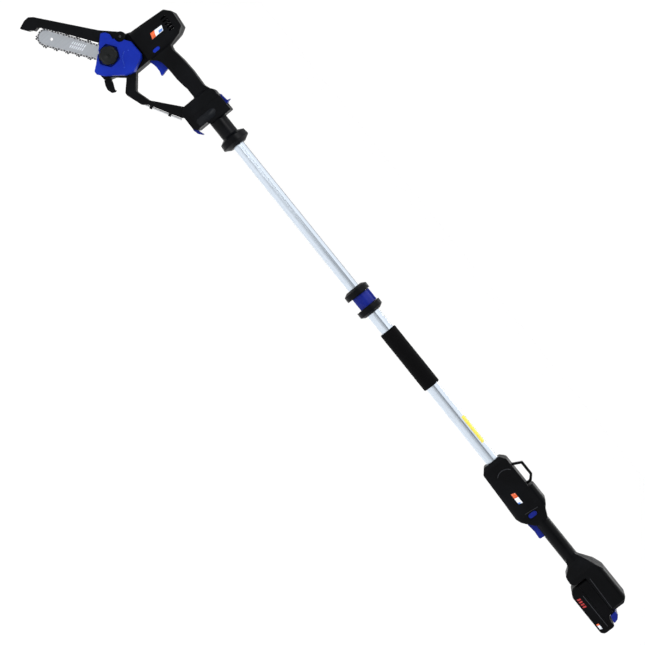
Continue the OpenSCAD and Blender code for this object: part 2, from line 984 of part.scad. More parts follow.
module rotor_pinion() {
    z1 = pinion_z0 + face_w + 1;
    tooth = 360 / pinion_teeth;
    half_root = gear_module * 0.62;
    half_tip = gear_module * 0.33;
    color(steel)
        in_head()
            translate([motor_x, 0, 0])
                difference() {
                    upward(pinion_z0, z1)
                        union() {
                            circle(r = pinion_r - tooth_root, $fn = 48);
                            for (i = [0:pinion_teeth - 1])
                                rotate(90 + tooth * i)
                                    polygon([
                                        [pinion_r - tooth_root - 1, -half_root],
                                        [pinion_r + tooth_h, -half_tip],
                                        [pinion_r + tooth_h, half_tip],
                                        [pinion_r - tooth_root - 1, half_root]
                                    ]);
                        }
                    rod_z(0, 0, pinion_z0 - 1, z1 + 1, shaft_r);
                }
}

// The face gear's teeth stand on its -Y face and mesh with the +Y side of the pinion
module face_gear() {
    tip_y = pinion_r - tooth_h + 0.35;
    root_y = pinion_r + tooth_root;
    disc_t = 4;
    tooth = 360 / gear_teeth;
    half_root = gear_module * 0.55;
    half_tip = gear_module * 0.3;
    color(steel)
        in_head()
            difference() {
                union() {
                    rod_y(motor_x, spindle_z, root_y, root_y + disc_t, gear_r + face_w / 2, 96);
                    for (i = [0:gear_teeth - 1])
                        translate([motor_x, 0, spindle_z])
                            rotate([0, tooth * (i + 0.5), 0])
                                upward(gear_r - face_w / 2, gear_r + face_w / 2)
                                    polygon([
                                        [-half_root, root_y + 0.5], [-half_tip, tip_y], [half_tip, tip_y],
                                        [half_root, root_y + 0.5]
                                    ]);
                }
                rod_y(motor_x, spindle_z, root_y - 1, root_y + disc_t + 1, spindle_r);
            }
}

module spindle() {
    color(steel)
        in_head()
            rod_y(motor_x, spindle_z, bar_y - 4, case_back - 2.5, spindle_r);
}

module spindle_bearings() {
    width = 7;
    color(steel)
        in_head()
            for (y0 = [case_y + 2, case_back - 9.5])
                difference() {
                    rod_y(motor_x, spindle_z, y0, y0 + width, 11);
                    rod_y(motor_x, spindle_z, y0 - 1, y0 + width + 1, spindle_r + run);
                }
}

module drive_sprocket() {
    root = sprocket_r - 4.2;
    tip = sprocket_r - 2;
    step = 360 / sprocket_teeth;
    color(steel)
        in_head()
            difference() {
                across(bar_y - 2, bar_y + 2)
                    translate([motor_x, spindle_z])
                        union() {
                            circle(r = root, $fn = 64);
                            for (i = [0:sprocket_teeth - 1])
                                rotate(step * i)
                                    polygon([[root - 1, -3], [tip, -1.2], [tip, 1.2], [root - 1, 3]]);
                        }
                rod_y(motor_x, spindle_z, bar_y - 5, bar_y + 5, spindle_r);
            }
}

// ---------- Bar and chain, drawn from the clamp knob ----------

// The loop that runs round the sprocket and the nose, at a given height outside the bar's edge
module loop_outline(height) {
    hull() {
        translate([-stud_gap, 0])
            circle(r = inner_at_drive + height, $fn = 64);
        translate([bar_reach, 0])
            circle(r = inner_at_nose + height, $fn = 64);
    }
}

module guide_bar() {
    color([0.6, 0.61, 0.63])
        in_head()
            across(bar_y - bar_t / 2, bar_y + bar_t / 2)
                from_stud()
                    difference() {
                        intersection() {
                            loop_outline(-chain_gap);
                            translate([bar_tail, -50])
                                square([bar_reach + 100, 100]);
                        }
                        hull()
                            for (u = [-slot_l / 2 + stud_r, slot_l / 2 - stud_r])
                                translate([u, 0])
                                    circle(r = stud_r + 0.1, $fn = 32);
                        translate([tension_u, tension_v])
                            circle(r = 2.1, $fn = 32);
                        translate([bar_reach - 15, 0])
                            circle(r = 3.5, $fn = 32);
                    }
}

module cutter() {
    polygon([
        [-4.2, chain_h - 1], [-4.2, chain_h + 0.8], [-2.2, chain_h + cutter_h * 0.6],
        [-0.8, chain_h + 0.3],
        [1, chain_h + cutter_h * 0.5], [3.4, chain_h + cutter_h * 0.65], [4, chain_h - 1]
    ]);
}

module saw_chain() {
    links = floor(run_len / cutter_pitch);
    turn_links = 3;
    color([0.2, 0.2, 0.21])
        in_head() {
            across(bar_y - chain_t / 2, bar_y + chain_t / 2)
                from_stud()
                    union() {
                        difference() {
                            loop_outline(chain_h);
                            loop_outline(0);
                        }
                        for (edge = [0, 1])
                            mirror([0, edge])
                                translate([-stud_gap, 0])
                                    rotate(run_slope)
                                        for (i = [0:links - 1])
                                            translate([(i + 0.5) * run_len / links, inner_at_drive])
                                                cutter();
                        for (i = [0:turn_links - 1]) {
                            translate([bar_reach, 0])
                                rotate(-45 - 45 * i)
                                    translate([0, inner_at_nose])
                                        cutter();
                            translate([-stud_gap, 0])
                                rotate(45 + 45 * i)
                                    translate([0, inner_at_drive])
                                        cutter();
                        }
                    }
        }
}

module bar_stud() {
    color(steel)
        in_head()
            rod_y(stud_x, stud_z, knob_y + 4, -5, stud_r);
}

module tension_pin() {
    color(steel)
        in_head()
            across(bar_y - bar_t / 2 - 1, case_y + 5)
                from_stud()
                    translate([tension_u, tension_v])
                        circle(r = 2, $fn = 32);
}

// ---------- Cover and knob ----------

module cover_outline() {
    eased(3)
        translate([stud_x, stud_z])
            polygon([
                [-52, 17], [-47, 27], [-37, 33], [-24, 31], [-17, 43], [7, 60], [44, 61], [52, 54],
                [66, 23], [59, 1], [43, -19], [29, -39], [16, -50], [7, -50], [-3, -37], [-27, -9]
            ]);
}

module well_outline(grow) {
    translate([stud_x, stud_z])
        rotate(bar_angle)
            eased(2)
                circle(r = 28 + grow, $fn = 6);
}

module sprocket_cover() {
    plate_y = cover_y + cover_wall;
    color(tool_blue)
        in_head()
            difference() {
                union() {
                    across(cover_y, plate_y)
                        cover_outline();
                    difference() {
                        across(cover_y, case_y)
                            cover_outline();
                        across(plate_y, case_y + 1)
                            offset(delta = -cover_wall)
                                cover_outline();
                        // mouth for the bar, and room for the bar guard
                        across(plate_y, case_y + 1)
                            from_stud() {
                                translate([14, -30]) square([60, 60]);
                                translate([-27, 19]) square([90, 50]);
                            }
                    }
                    // hexagonal well for the knob
                    intersection() {
                        across(cover_y, well_floor + cover_wall)
                            well_outline(cover_wall);
                        across(cover_y, well_floor + cover_wall)
                            cover_outline();
                    }
                    rod_y(stud_x, stud_z, well_floor, bar_y - bar_t / 2, 9);
                }
                across(cover_y - 1, well_floor)
                    well_outline(0);
                rod_y(stud_x, stud_z, cover_y, case_y, stud_r + free);
                rod_y(guard_x, guard_z, cover_y - 1, case_y + 1, guard_knuckle + loose);
                across(bar_y - bar_t / 2 - 4, case_y)
                    from_stud()
                        translate([tension_u, tension_v])
                            circle(r = 2 + free, $fn = 32);
            }
}

module clamp_knob() {
    flutes = 6;
    color(near_black)
        in_head()
            difference() {
                union() {
                    rod_y(stud_x, stud_z, knob_y + 2, well_floor - free, knob_r);
                    rod_y(stud_x, stud_z, knob_y, knob_y + 2.5, knob_r - 2);
                }
                for (i = [0:flutes - 1])
                    translate([stud_x, 0, stud_z])
                        rotate([0, 60 * i + 30, 0])
                            rod_y(knob_r + 3, 0, knob_y - 1, well_floor, 4.5, 32);
                rod_y(stud_x, stud_z, knob_y + 3.5, well_floor + 1, stud_r + run);
            }
}

// ---------- Bar guard ----------

module guard_outline() {
    eased(2)
        polygon([
            [guard_root_u - 6, 51], [bar_reach + 38, 38], [hook_u + 23, 34], [hook_u + 30, 23],
            [hook_u + 35, 2.5], [hook_u + 16, 2.5], [hook_u + 8, 7], [hook_u, 7.5], [hook_u - 5, 18],
            [bar_reach + 14, 19], [bar_reach - 20, 20.5], [guard_root_u, 22]
        ]);
}

module bar_guard() {
    color(near_black)
        in_head()
            difference() {
                union() {
                    across(guard_near, guard_far)
                        from_stud()
                            guard_outline();
                    // knuckle and arm in front of the gear case
                    across(guard_near, case_y - free)
                        from_stud() {
                            translate([guard_u, guard_v])
                                circle(r = guard_knuckle, $fn = 64);
                            polygon([
                                [guard_u - 2, guard_v + guard_knuckle - 0.5], [guard_root_u + 4, 50.4],
                                [guard_root_u + 4, 23], [guard_u + 8, guard_v - guard_knuckle + 3]
                            ]);
                        }
                }
                across(guard_near + guard_wall, guard_far - guard_wall)
                    from_stud()
                        polygon([
                            [guard_root_u - 6, 10], [guard_root_u - 6, 50 - guard_wall - 2],
                            [bar_reach + 30, 37 - guard_wall],
                            [hook_u, 28], [hook_u - 6, 10]
                        ]);
                rod_y(guard_x, guard_z, guard_near - 1, case_y + 1, guard_pin_r + run);
            }
}

module guard_pin() {
    color(steel)
        in_head()
            rod_y(guard_x, guard_z, guard_near - 1, -5, guard_pin_r);
}

// Hook under the gear case, for pulling cut branches down
module branch_hook() {
    color(near_black)
        in_head()
            across(case_y, case_y + 9)
                difference() {
                    eased(1.2)
                        polygon([
                            [motor_x + 2, stud_z - 40], [motor_x + 12, stud_z - 33],
                            [motor_x + 24, stud_z - 37],
                            [motor_x + 37, stud_z - 43], [motor_x + 41, stud_z - 41],
                            [motor_x + 43, stud_z - 45],
                            [motor_x + 39, stud_z - 53], [motor_x + 27, stud_z - 56.5],
                            [motor_x + 16, stud_z - 54],
                            [motor_x + 6, stud_z - 49]
                        ]);
                    case_outline();
                }
}

// Hex key, stowed in two clips under the hand guard: a long leg and a short one bent away along Y
module along_key() {
    translate([key_at[0], 0, key_at[1]])
        rotate([0, -key_slope, 0])
            children();
}

module key_leg(r, x0, x1) {
    translate([x0, 0, 0])
        rotate([0, 90, 0])
            cylinder(h = x1 - x0, r = r, $fn = 6);
}

module key_clips() {
    along_key()
        for (x = key_clips_at)
            translate([x, -key_clip_w / 2, -key_r - 1.5])
                cube([key_clip_w, key_clip_w, 12]);
}

module hex_key() {
    short_leg = 18;
    color(soft_black)
        in_head()
            along_key()
                union() {
                    key_leg(key_r, 0, key_len);
                    translate([key_r, 0, 0])
                        rotate([0, 0, 90])
                            key_leg(key_r, 0, short_leg);
                }
}

// ---------- Saw controls ----------

module saw_trigger() {
    px = trig_pivot[0];
    pz = trig_pivot[1];
    color(tool_blue)
        in_head()
            difference() {
                union() {
                    across(-trig_w / 2, trig_w / 2) {
                        translate(trig_pivot)
                            circle(r = trig_eye_r, $fn = 48);
                        polygon([
                            [px - 5, pz - 2], [px - 6, pz - 29], [px - 4, pz - 31], [px + 4, pz - 28],
                            [px + 14, pz - 26], [px + 26, pz - 26.3], [px + 37, pz - 29.5],
                            [px + 38, pz - 27],
                            [px + 34, pz - 10], [px + 34, pz - 3], [px + 5, pz + 2]
                        ]);
                    }
                    rod_y(px, pz, -trig_pin_end + 1, trig_pin_end - 1, trig_pin_r);
                }
                rod_z(saw_spring_x, 0, pz - spring_seat, pz + trig_eye_r, spring_pocket_r);
            }
}

// A trigger's spring stands in a pocket of the trigger and reaches up into the switch
module trigger_spring(x, pivot_z, turns) {
    gap = spring_wire_r + run;
    translate([x, 0, pivot_z - spring_seat + gap])
        coil_spring(spring_r, spring_wire_r, turns, spring_roof + spring_seat - 2 * gap);
}

module switch_body(at, size, spring_x, pivot_z) {
    difference() {
        switch_box(at, size);
        rod_z(spring_x, 0, at[1] - 1, pivot_z + spring_roof, spring_pocket_r);
    }
}

module saw_trigger_spring() {
    color(steel)
        in_head()
            trigger_spring(saw_spring_x, trig_pivot[1], 5);
}

module saw_switch() {
    color([0.15, 0.15, 0.16])
        in_head()
            switch_body(saw_switch_at, saw_switch_size, saw_spring_x, trig_pivot[1]);
}

module saw_lock_off() {
    out = 27.5;
    color(tool_blue)
        in_head()
            translate([off_x, 0, off_z])
                rotate([90, 0, 0])
                    linear_extrude(2 * out, center = true)
                        lock_off_outline(0, saw_off_r, saw_off_h);
}

// ---------- Rear handle ----------

// Each screw's place, and how far from the parting plane the skin lies
rear_screws_at = [
    [14, 23, box_w / 2], [14, -26, box_w / 2], [box_len - 34, 33, box_w / 2],
    [box_len - 30, -31, box_w / 2],
    [box_len + 80, 6, rear_grip_d / 2], [grip_x1 + 24, 22, pack_w / 2],
    [grip_x1 + dock_len - 18, 34, pack_w / 2]
];

module box_outline() {
    eased(4)
        polygon([
            [0, -25], [13, -36], [90, box_bottom + 2], [box_len - 20, box_bottom - 1],
            [box_len - 6, box_bottom + 5],
            [box_len + 4, box_bottom + 12], [box_len + 20, -16], [box_len + 30, rear_grip_z],
            [box_len + 22, 20],
            [box_len + 4, 28], [box_len - 8, 38], [box_len - 18, hump_top],
            [box_len - 62, hump_top], [box_len - 64, box_top],
            [14, box_top], [0, 20]
        ]);
}

module dock_outline() {
    eased(5)
        polygon([
            [grip_x1 - 12, rear_grip_z - 12], [grip_x1 - 4, rear_grip_z - 16],
            [grip_x1 + 6, rear_grip_z - 19],
            [grip_x1 + 19, lobe_bottom + 1], [grip_x1 + 26, lobe_bottom],
            [grip_x1 + lobe_len - 8, lobe_bottom], [grip_x1 + lobe_len, lobe_bottom + 6],
            [grip_x1 + lobe_len, dock_floor], [grip_x1 + dock_len, dock_floor],
            [grip_x1 + dock_len, dock_top - 13], [grip_x1 + dock_len - 12, dock_top],
            [grip_x1 + 54, dock_top],
            [grip_x1 + 30, dock_top - 10], [grip_x1 + 8, 26], [grip_x1 - 4, rear_grip_z + 17],
            [grip_x1 - 12, rear_grip_z + 14]
        ]);
}

// Plans seen from above: the box narrows to the grip, and the grip widens to the dock
module box_plan() {
    narrow = rear_grip_d / 2 - 2;
    polygon([
        [0, -box_w / 2 + 8], [8, -box_w / 2], [box_len - 14, -box_w / 2], [box_len + 24, -narrow],
        [box_len + 60, -narrow],
        [box_len + 60, narrow], [box_len + 24, narrow], [box_len - 14, box_w / 2], [8, box_w / 2],
        [0, box_w / 2 - 8]
    ]);
}

module dock_plan() {
    narrow = rear_grip_d / 2 - 1;
    wide = pack_w / 2;
    back = grip_x1 + dock_len;
    polygon([
        [grip_x1 - 40, -narrow], [grip_x1 + 2, -narrow], [grip_x1 + 32, -wide], [back - 8, -wide],
        [back, -wide + 8],
        [back, wide - 8], [back - 8, wide], [grip_x1 + 32, wide], [grip_x1 + 2, narrow],
        [grip_x1 - 40, narrow]
    ]);
}

module rear_outer(inset) {
    union() {
        intersection() {
            across(-box_w / 2 + inset, box_w / 2 - inset)
                offset(delta = -inset)
                    box_outline();
            along(0, box_len + 40)
                offset(delta = -inset)
                    rounded_rect(-box_w / 2, box_bottom - 1, box_w / 2, hump_top, 12);
            upward(box_bottom - 2, hump_top + 1)
                offset(delta = -inset)
                    box_plan();
        }
        translate([0, 0, rear_grip_z])
            rod_x(box_len - 4 + inset, grip_x1 + 14, rear_grip_d / 2 - inset, 96);
        intersection() {
            across(-pack_w / 2 + inset, pack_w / 2 - inset)
                offset(delta = -inset)
                    dock_outline();
            along(grip_x1 - 12, grip_x1 + dock_len + 1)
                offset(delta = -inset)
                    rounded_rect(-pack_w / 2, -60, pack_w / 2, dock_top, 10);
            upward(-60, dock_top + 1)
                offset(delta = -inset)
                    dock_plan();
        }
    }
}

module rear_bosses() {
    for (p = rear_screws_at)
        screw_boss(p[0], p[1], -p[2] + 1, p[2] - 1);
    // sleeve that holds the outer tube
    rod_x(1, rear_socket + 3, outer_d / 2 + shell);
    // eyes for the trigger's stub axles, pads that hold the switch, and rails under the board
    rod_y(rear_pivot[0], rear_pivot[1], -rear_grip_d / 2 + 1, rear_grip_d / 2 - 1, trig_eye_r + 1);
    switch_pads(rear_switch_at, rear_switch_size, rear_grip_d - 2);
    for (side = [-1, 1])
        translate([rear_socket + 10, side * (box_w / 2 - 4) - 3, board_z - 3])
            cube([60, 6, 3]);
    // ribs that hold the strap loop's feet
    for (x = [strap_x0 + 3, strap_x1 - 4])
        translate([x - 7, -6, box_top - 12])
            cube([14, 12, 11]);
}

module rear_body() {
    difference() {
        rear_outer(0);
        difference() {
            rear_outer(shell);
            rear_bosses();
        }
        rod_x(-2, rear_socket, outer_d / 2, 96);
        rod_x(rear_socket - 1, rear_socket + 4, outer_d / 2 - tube_wall - key_depth);
        // trigger slot and pin
        across(-trig_w / 2 - free, trig_w / 2 + free)
            polygon([
                [rear_pivot[0] + 7, -40], [rear_pivot[0] + 7, rear_pivot[1] + 7],
                [rear_pivot[0] - 8, rear_pivot[1] + 7], [rear_pivot[0] - 43.5, -3],
                [rear_pivot[0] - 43.5, -40]
            ]);
        rod_y(rear_pivot[0], rear_pivot[1], -trig_pin_end, trig_pin_end, trig_pin_r + run);
        switch_box(rear_switch_at, rear_switch_size);
        contact_blades();
        // groove for the battery's rail, open at the back
        translate([grip_x1 + lobe_len - 6, -rail_w / 2 - free, dock_floor - 1])
            cube([dock_len, rail_w + 2 * free, shell + 2]);
        translate([grip_x1 + dock_len - 10, -rail_cap_w / 2 - free, dock_floor + shell])
            cube([20, rail_cap_w + 2 * free, rail_cap_t + 2 * free]);
        // lock-off button
        translate([rear_off_x, 0, rear_off_z])
            rotate([90, 0, 0])
                linear_extrude(2 * box_w, center = true)
                    lock_off_outline(run, rear_off_r, rear_off_h);
        // feet of the strap loop
        for (x = [strap_x0, strap_x1])
            translate([x, 0, 0])
                strap_foot();
        for (p = rear_screws_at)
            screw_bore(p[0], p[1], p[2]);
    }
}

module rear_housing_left() { color(near_black) in_rear() one_half(-1) rear_body(); }

module rear_housing_right() { color(near_black) in_rear() one_half(1) rear_body(); }

module rear_screws() {
    color(steel)
        in_rear()
            for (p = rear_screws_at)
                screw(p[0], p[1]);
}

// Blank badge on the control box
module rear_badge() {
    badge_t = 0.6;
    color([0.8, 0.8, 0.82])
        in_rear()
            across(-box_w / 2 - badge_t, -box_w / 2)
                polygon([[box_len - 74, -13], [box_len - 45, -13], [box_len - 42, -3],
                [box_len - 71, -3]]);
}

// Moulded loop on the control box for a shoulder strap
module strap_foot() {
    translate([-strap_bar / 2, -strap_w / 2, box_top - strap_sink])
        cube([strap_bar, strap_w, strap_sink + 2]);
}

module strap_loop() {
    top = box_top + strap_rise;
    color(near_black)
        in_rear()
            across(-strap_w / 2, strap_w / 2)
                difference() {
                    polygon([
                        [strap_x0 - 3, box_top - strap_sink], [strap_x0 - 3, box_top + 1],
                        [strap_x0 + 9, top],
                        [strap_x1 - 10, top], [strap_x1 + 3, box_top + 12],
                        [strap_x1 + 3, box_top - strap_sink]
                    ]);
                    polygon([
                        [strap_x0 + 3, box_top - strap_sink - 1], [strap_x0 + 3, box_top],
                        [strap_x0 + 12, top - strap_bar], [strap_x1 - 12, top - strap_bar],
                        [strap_x1 - 3, box_top + 9], [strap_x1 - 3, box_top - strap_sink - 1]
                    ]);
                }
}

module rear_trigger() {
    px = rear_pivot[0];
    pz = rear_pivot[1];
    color(tool_blue)
        in_rear()
            difference() {
                union() {
                    across(-trig_w / 2, trig_w / 2) {
                        translate(rear_pivot)
                            circle(r = trig_eye_r, $fn = 48);
                        polygon([
                            [px + 5, pz - 2], [px + 3, pz - 18], [px, pz - 20], [px - 18, pz - 18.5],
                            [px - 40, pz - 21], [px - 41, pz - 18], [px - 40, pz - 4], [px - 5, pz + 2]
                        ]);
                    }
                    rod_y(px, pz, -trig_pin_end + 1, trig_pin_end - 1, trig_pin_r);
                }
                rod_z(rear_spring_x, 0, pz - spring_seat, pz + trig_eye_r, spring_pocket_r);
            }
}

module rear_trigger_spring() {
    color(steel)
        in_rear()
            trigger_spring(rear_spring_x, rear_pivot[1], 5);
}

module rear_switch() {
    color([0.15, 0.15, 0.16])
        in_rear()
            switch_body(rear_switch_at, rear_switch_size, rear_spring_x, rear_pivot[1]);
}

module rear_lock_off() {
    out = box_w / 2 + 1;
    color(tool_blue)
        in_rear()
            translate([rear_off_x, 0, rear_off_z])
                rotate([90, 0, 0])
                    linear_extrude(2 * out, center = true)
                        lock_off_outline(0, rear_off_r, rear_off_h);
}

module control_board() {
    color([0.1, 0.35, 0.2])
        in_rear() {
            translate([rear_socket + 10, -box_w / 2 + shell + free, board_z])
                cube([60, box_w - 2 * shell - 2 * free, board_t]);
            for (i = [0:2])
                translate([rear_socket + 18 + 15 * i, -8, board_z + board_t])
                    cube([9, 16, 9]);
        }
}

module contact_blades() {
    for (y = blades_at)
        translate([grip_x1 + lobe_len - 1, y - blade_t / 2, dock_floor - 12])
            cube([15, blade_t, 8]);
}

module dock_terminals() {
    color([0.8, 0.6, 0.3])
        in_rear()
            contact_blades();
}

// ---------- Battery ----------

module battery_outline(bottom) {
    eased(3)
        polygon([
            [pack_x0, rail_top], [pack_x0, bottom + 12], [pack_x0 + 8, bottom + 4],
            [pack_x0 + 17, bottom],
            [pack_x1 - 10, bottom], [pack_x1 - 2, bottom + 6], [pack_x1, bottom + 14],
            [pack_x1, bottom + 30], [pack_x1 - 9, rail_top - 8], [pack_x1 - 14, rail_top]
        ]);
}

module battery_shape(inset) {
    intersection() {
        across(-pack_w / 2 + inset, pack_w / 2 - inset)
            offset(delta = -inset)
                battery_outline(pack_bottom);
        upward(pack_bottom - 1, rail_top + 1)
            offset(delta = -inset)
                rounded_rect(pack_x0, -pack_w / 2, pack_x1, pack_w / 2, 10);
    }
}

// The rail under the dock's floor: a neck through the groove and a wider cap above it
module battery_rail() {
    x0 = grip_x1 + lobe_len + 14;
    rail_len = button_x - 8 - x0;
    translate([x0, -rail_w / 2, rail_top - 5])
        cube([rail_len, rail_w, rail_cap_z - rail_top + 5.5]);
    translate([x0, -rail_cap_w / 2, rail_cap_z])
        cube([rail_len, rail_cap_w, rail_cap_t]);
}

module battery_whole() {
    battery_rail();
    difference() {
        battery_shape(0);
        difference() {
            battery_shape(shell);
            // deck above the cells, with the contact block
            translate([pack_x0, -pack_w, pack_top - 4])
                cube([pack_len, 2 * pack_w, rail_h + 10]);
        }
        // slots for the dock's contacts
        for (y = blades_at)
            translate([pack_x0 - 1, y - blade_t / 2 - free, dock_floor - 13])
                cube([28, blade_t + 2 * free, 10]);
        // well of the release button
        across(-button_w / 2 - 2, button_w / 2 + 2)
            polygon([
                [button_x - 2, rail_top + 1], [button_x - 2, rail_top - 13.5],
                [button_x + 12, rail_top - 17],
                [pack_x1 + 6, rail_top - 17], [pack_x1 + 6, rail_top + 1]
            ]);
    }
}

module battery_case() {
    color(near_black)
        in_rear()
            intersection() {
                battery_whole();
                translate([pack_x0 - 10, -pack_w, split_z])
                    cube([pack_len + 20, 2 * pack_w, 100]);
            }
}

module battery_base() {
    color(near_black)
        in_rear()
            intersection() {
                battery_whole();
                translate([pack_x0 - 10, -pack_w, split_z - 100])
                    cube([pack_len + 20, 2 * pack_w, 100]);
            }
}

module battery_cells() {
    gap = 1.5;
    cell_z = pack_bottom + shell + cell_d / 2 + 1;
    color([0.2, 0.5, 0.35])
        in_rear()
            for (i = [0:cell_count - 1])
                rod_y(
                    pack_x0 + 18 + (i + 0.5) * (cell_d + gap), cell_z,
                    -cell_len / 2, cell_len / 2, cell_d / 2
                );
}

module battery_button() {
    color(tool_blue)
        in_rear()
            across(-button_w / 2, button_w / 2)
                eased(1.5)
                    polygon([
                        [button_x, rail_top - 9.5], [button_x, rail_top + 5],
                        [button_x + 9, rail_top + 5.5],
                        [button_x + 17, rail_top - 2], [button_x + 20.5, rail_top - 13],
                        [button_x + 14, rail_top - 13.3]
                    ]);
}

outer_tube();
foam_grip();
tube_label();
lock_collar();
clamp_ring();
lever_pin();
lock_lever();
inner_tube();
tube_bush();
coiled_cable();
cable_lead();
adapter_left();
adapter_right();
adapter_plug();
adapter_screws();
upper_latch();
lower_latch();
saw_housing_left();
saw_housing_right();
saw_screws();
saw_badge();
saw_terminals();
motor_can();
rotor();
rotor_pinion();
motor_bearings();
face_gear();
spindle();
spindle_bearings();
drive_sprocket();
guide_bar();
saw_chain();
bar_stud();
tension_pin();
sprocket_cover();
clamp_knob();
bar_guard();
guard_pin();
branch_hook();
hex_key();
saw_trigger();
saw_trigger_spring();
saw_switch();
saw_lock_off();
rear_housing_left();
rear_housing_right();
rear_screws();
rear_badge();
strap_loop();
rear_trigger();
rear_trigger_spring();
rear_switch();
rear_lock_off();
control_board();
dock_terminals();
battery_case();
battery_base();
battery_cells();
battery_button();
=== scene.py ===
import json
import math
import random

import bmesh
import bpy
from mathutils import Matrix, Vector
from mathutils.bvhtree import BVHTree

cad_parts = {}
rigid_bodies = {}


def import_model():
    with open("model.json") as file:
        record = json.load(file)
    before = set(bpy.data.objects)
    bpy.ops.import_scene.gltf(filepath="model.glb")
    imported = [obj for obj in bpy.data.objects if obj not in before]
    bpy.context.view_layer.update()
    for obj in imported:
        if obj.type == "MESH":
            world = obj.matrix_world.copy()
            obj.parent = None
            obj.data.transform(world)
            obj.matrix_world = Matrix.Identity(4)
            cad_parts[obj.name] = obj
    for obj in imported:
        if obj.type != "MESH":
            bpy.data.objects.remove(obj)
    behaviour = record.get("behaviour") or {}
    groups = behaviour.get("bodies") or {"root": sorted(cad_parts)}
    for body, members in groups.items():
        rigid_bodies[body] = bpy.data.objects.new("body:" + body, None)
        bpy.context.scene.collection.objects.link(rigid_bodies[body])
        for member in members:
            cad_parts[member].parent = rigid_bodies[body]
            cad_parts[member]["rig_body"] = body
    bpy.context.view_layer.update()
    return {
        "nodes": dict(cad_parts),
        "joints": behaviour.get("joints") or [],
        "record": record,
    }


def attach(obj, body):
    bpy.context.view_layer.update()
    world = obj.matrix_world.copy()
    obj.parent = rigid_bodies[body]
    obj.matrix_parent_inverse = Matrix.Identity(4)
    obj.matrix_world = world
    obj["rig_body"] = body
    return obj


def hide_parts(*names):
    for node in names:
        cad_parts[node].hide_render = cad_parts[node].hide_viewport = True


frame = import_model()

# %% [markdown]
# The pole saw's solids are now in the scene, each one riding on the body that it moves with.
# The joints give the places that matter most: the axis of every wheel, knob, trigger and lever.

MM = 0.001
pivots = {j["name"]: Vector(j["pos_m"]) for j in frame["joints"] if "pos_m" in j}
spindle = pivots["spindle_spin"]
stud = pivots["clamp_knob_turn"]

# %% [markdown]
# A long, thin tool is best seen square on, from far away, with a long lens. A near camera would
# make the saw look much bigger than the battery. The tool is 2 m long and the picture is
# square, so the camera is rolled about its own axis until the pole runs from corner to corner.

# %% Camera
def add_camera(target, distance, elevation, roll, covers):
    """Looks along +Y at target. covers is the width, at the target, that fills the picture."""
    raised = math.radians(elevation)
    back = Vector((0, -math.cos(raised), math.sin(raised)))
    level_right = Vector((1, 0, 0))
    level_up = back.cross(level_right)
    turn = math.radians(roll)
    right = level_right * math.cos(turn) + level_up * math.sin(turn)
    up = back.cross(right)
    camera = bpy.data.objects.new("camera", bpy.data.cameras.new("camera"))
    bpy.context.scene.collection.objects.link(camera)
    camera.rotation_mode = "QUATERNION"
    camera.rotation_quaternion = Matrix((right, up, back)).transposed().to_quaternion()
    camera.location = Vector(target) + back * distance
    camera.data.lens = camera.data.sensor_width * distance / covers
    camera.data.clip_end = 60      # beyond the far edge of the floor
    bpy.context.scene.camera = camera
    return camera


camera = add_camera(
    target=(-0.193, 0, -0.108), distance=4.2, elevation=7.5, roll=51.2, covers=1.516
)
print("lens", round(camera.data.lens, 1), "mm")

# %% [markdown]
# Dark plastic and satin metal show their shape only by what they reflect. In an even white room
# they look flat. So the surround is white along the horizon and overhead, with a grey band
# between: every round tube then carries a darker line along it, and every upper edge a light
# one. One big soft box stands above and in front, a narrow one behind for the edges, and the
# pale floor is far enough below that it takes no hard shadow.

# %% Studio
def add_area_light(name, place, aim, size, power):
    light = bpy.data.objects.new(name, bpy.data.lights.new(name, "AREA"))
    light.data.shape = "RECTANGLE"
    light.data.size, light.data.size_y = size
    light.data.energy = power
    light.location = place
    light.rotation_mode = "QUATERNION"
    light.rotation_quaternion = (Vector(aim) - Vector(place)).to_track_quat("-Z", "Y")
    bpy.context.scene.collection.objects.link(light)
    return light


def add_surround(brightest, bands):
    """bands are (sine of the height above the horizon, share of the brightest light)."""
    world = bpy.data.worlds.new("banded_surround")
    world.use_nodes = True
    tree = world.node_tree
    direction = tree.nodes.new("ShaderNodeTexCoord")
    split = tree.nodes.new("ShaderNodeSeparateXYZ")
    ramp = tree.nodes.new("ShaderNodeValToRGB")
    ramp.color_ramp.interpolation = "EASE"
    while len(ramp.color_ramp.elements) < len(bands):
        ramp.color_ramp.elements.new(0.5)
    for mark, (height, share) in zip(ramp.color_ramp.elements, bands):
        mark.position = height
        mark.color = (share, share, share, 1)
    tree.links.new(direction.outputs["Generated"], split.inputs["Vector"])
    tree.links.new(split.outputs["Z"], ramp.inputs["Fac"])
    tree.links.new(ramp.outputs["Color"], tree.nodes["Background"].inputs["Color"])
    tree.nodes["Background"].inputs["Strength"].default_value = brightest
    bpy.context.scene.world = world


def add_floor(height, width):
    paper = bpy.data.materials.new("floor_paper")
    paper.use_nodes = True
    shader = paper.node_tree.nodes["Principled BSDF"]
    shader.inputs["Base Color"].default_value = (1, 1, 1, 1)
    shader.inputs["Roughness"].default_value = 0.9
    bpy.ops.mesh.primitive_plane_add(size=width, location=(0, 0, height))
    floor = bpy.context.object
    floor.name = "studio_floor"
    floor.data.materials.append(paper)
    return floor


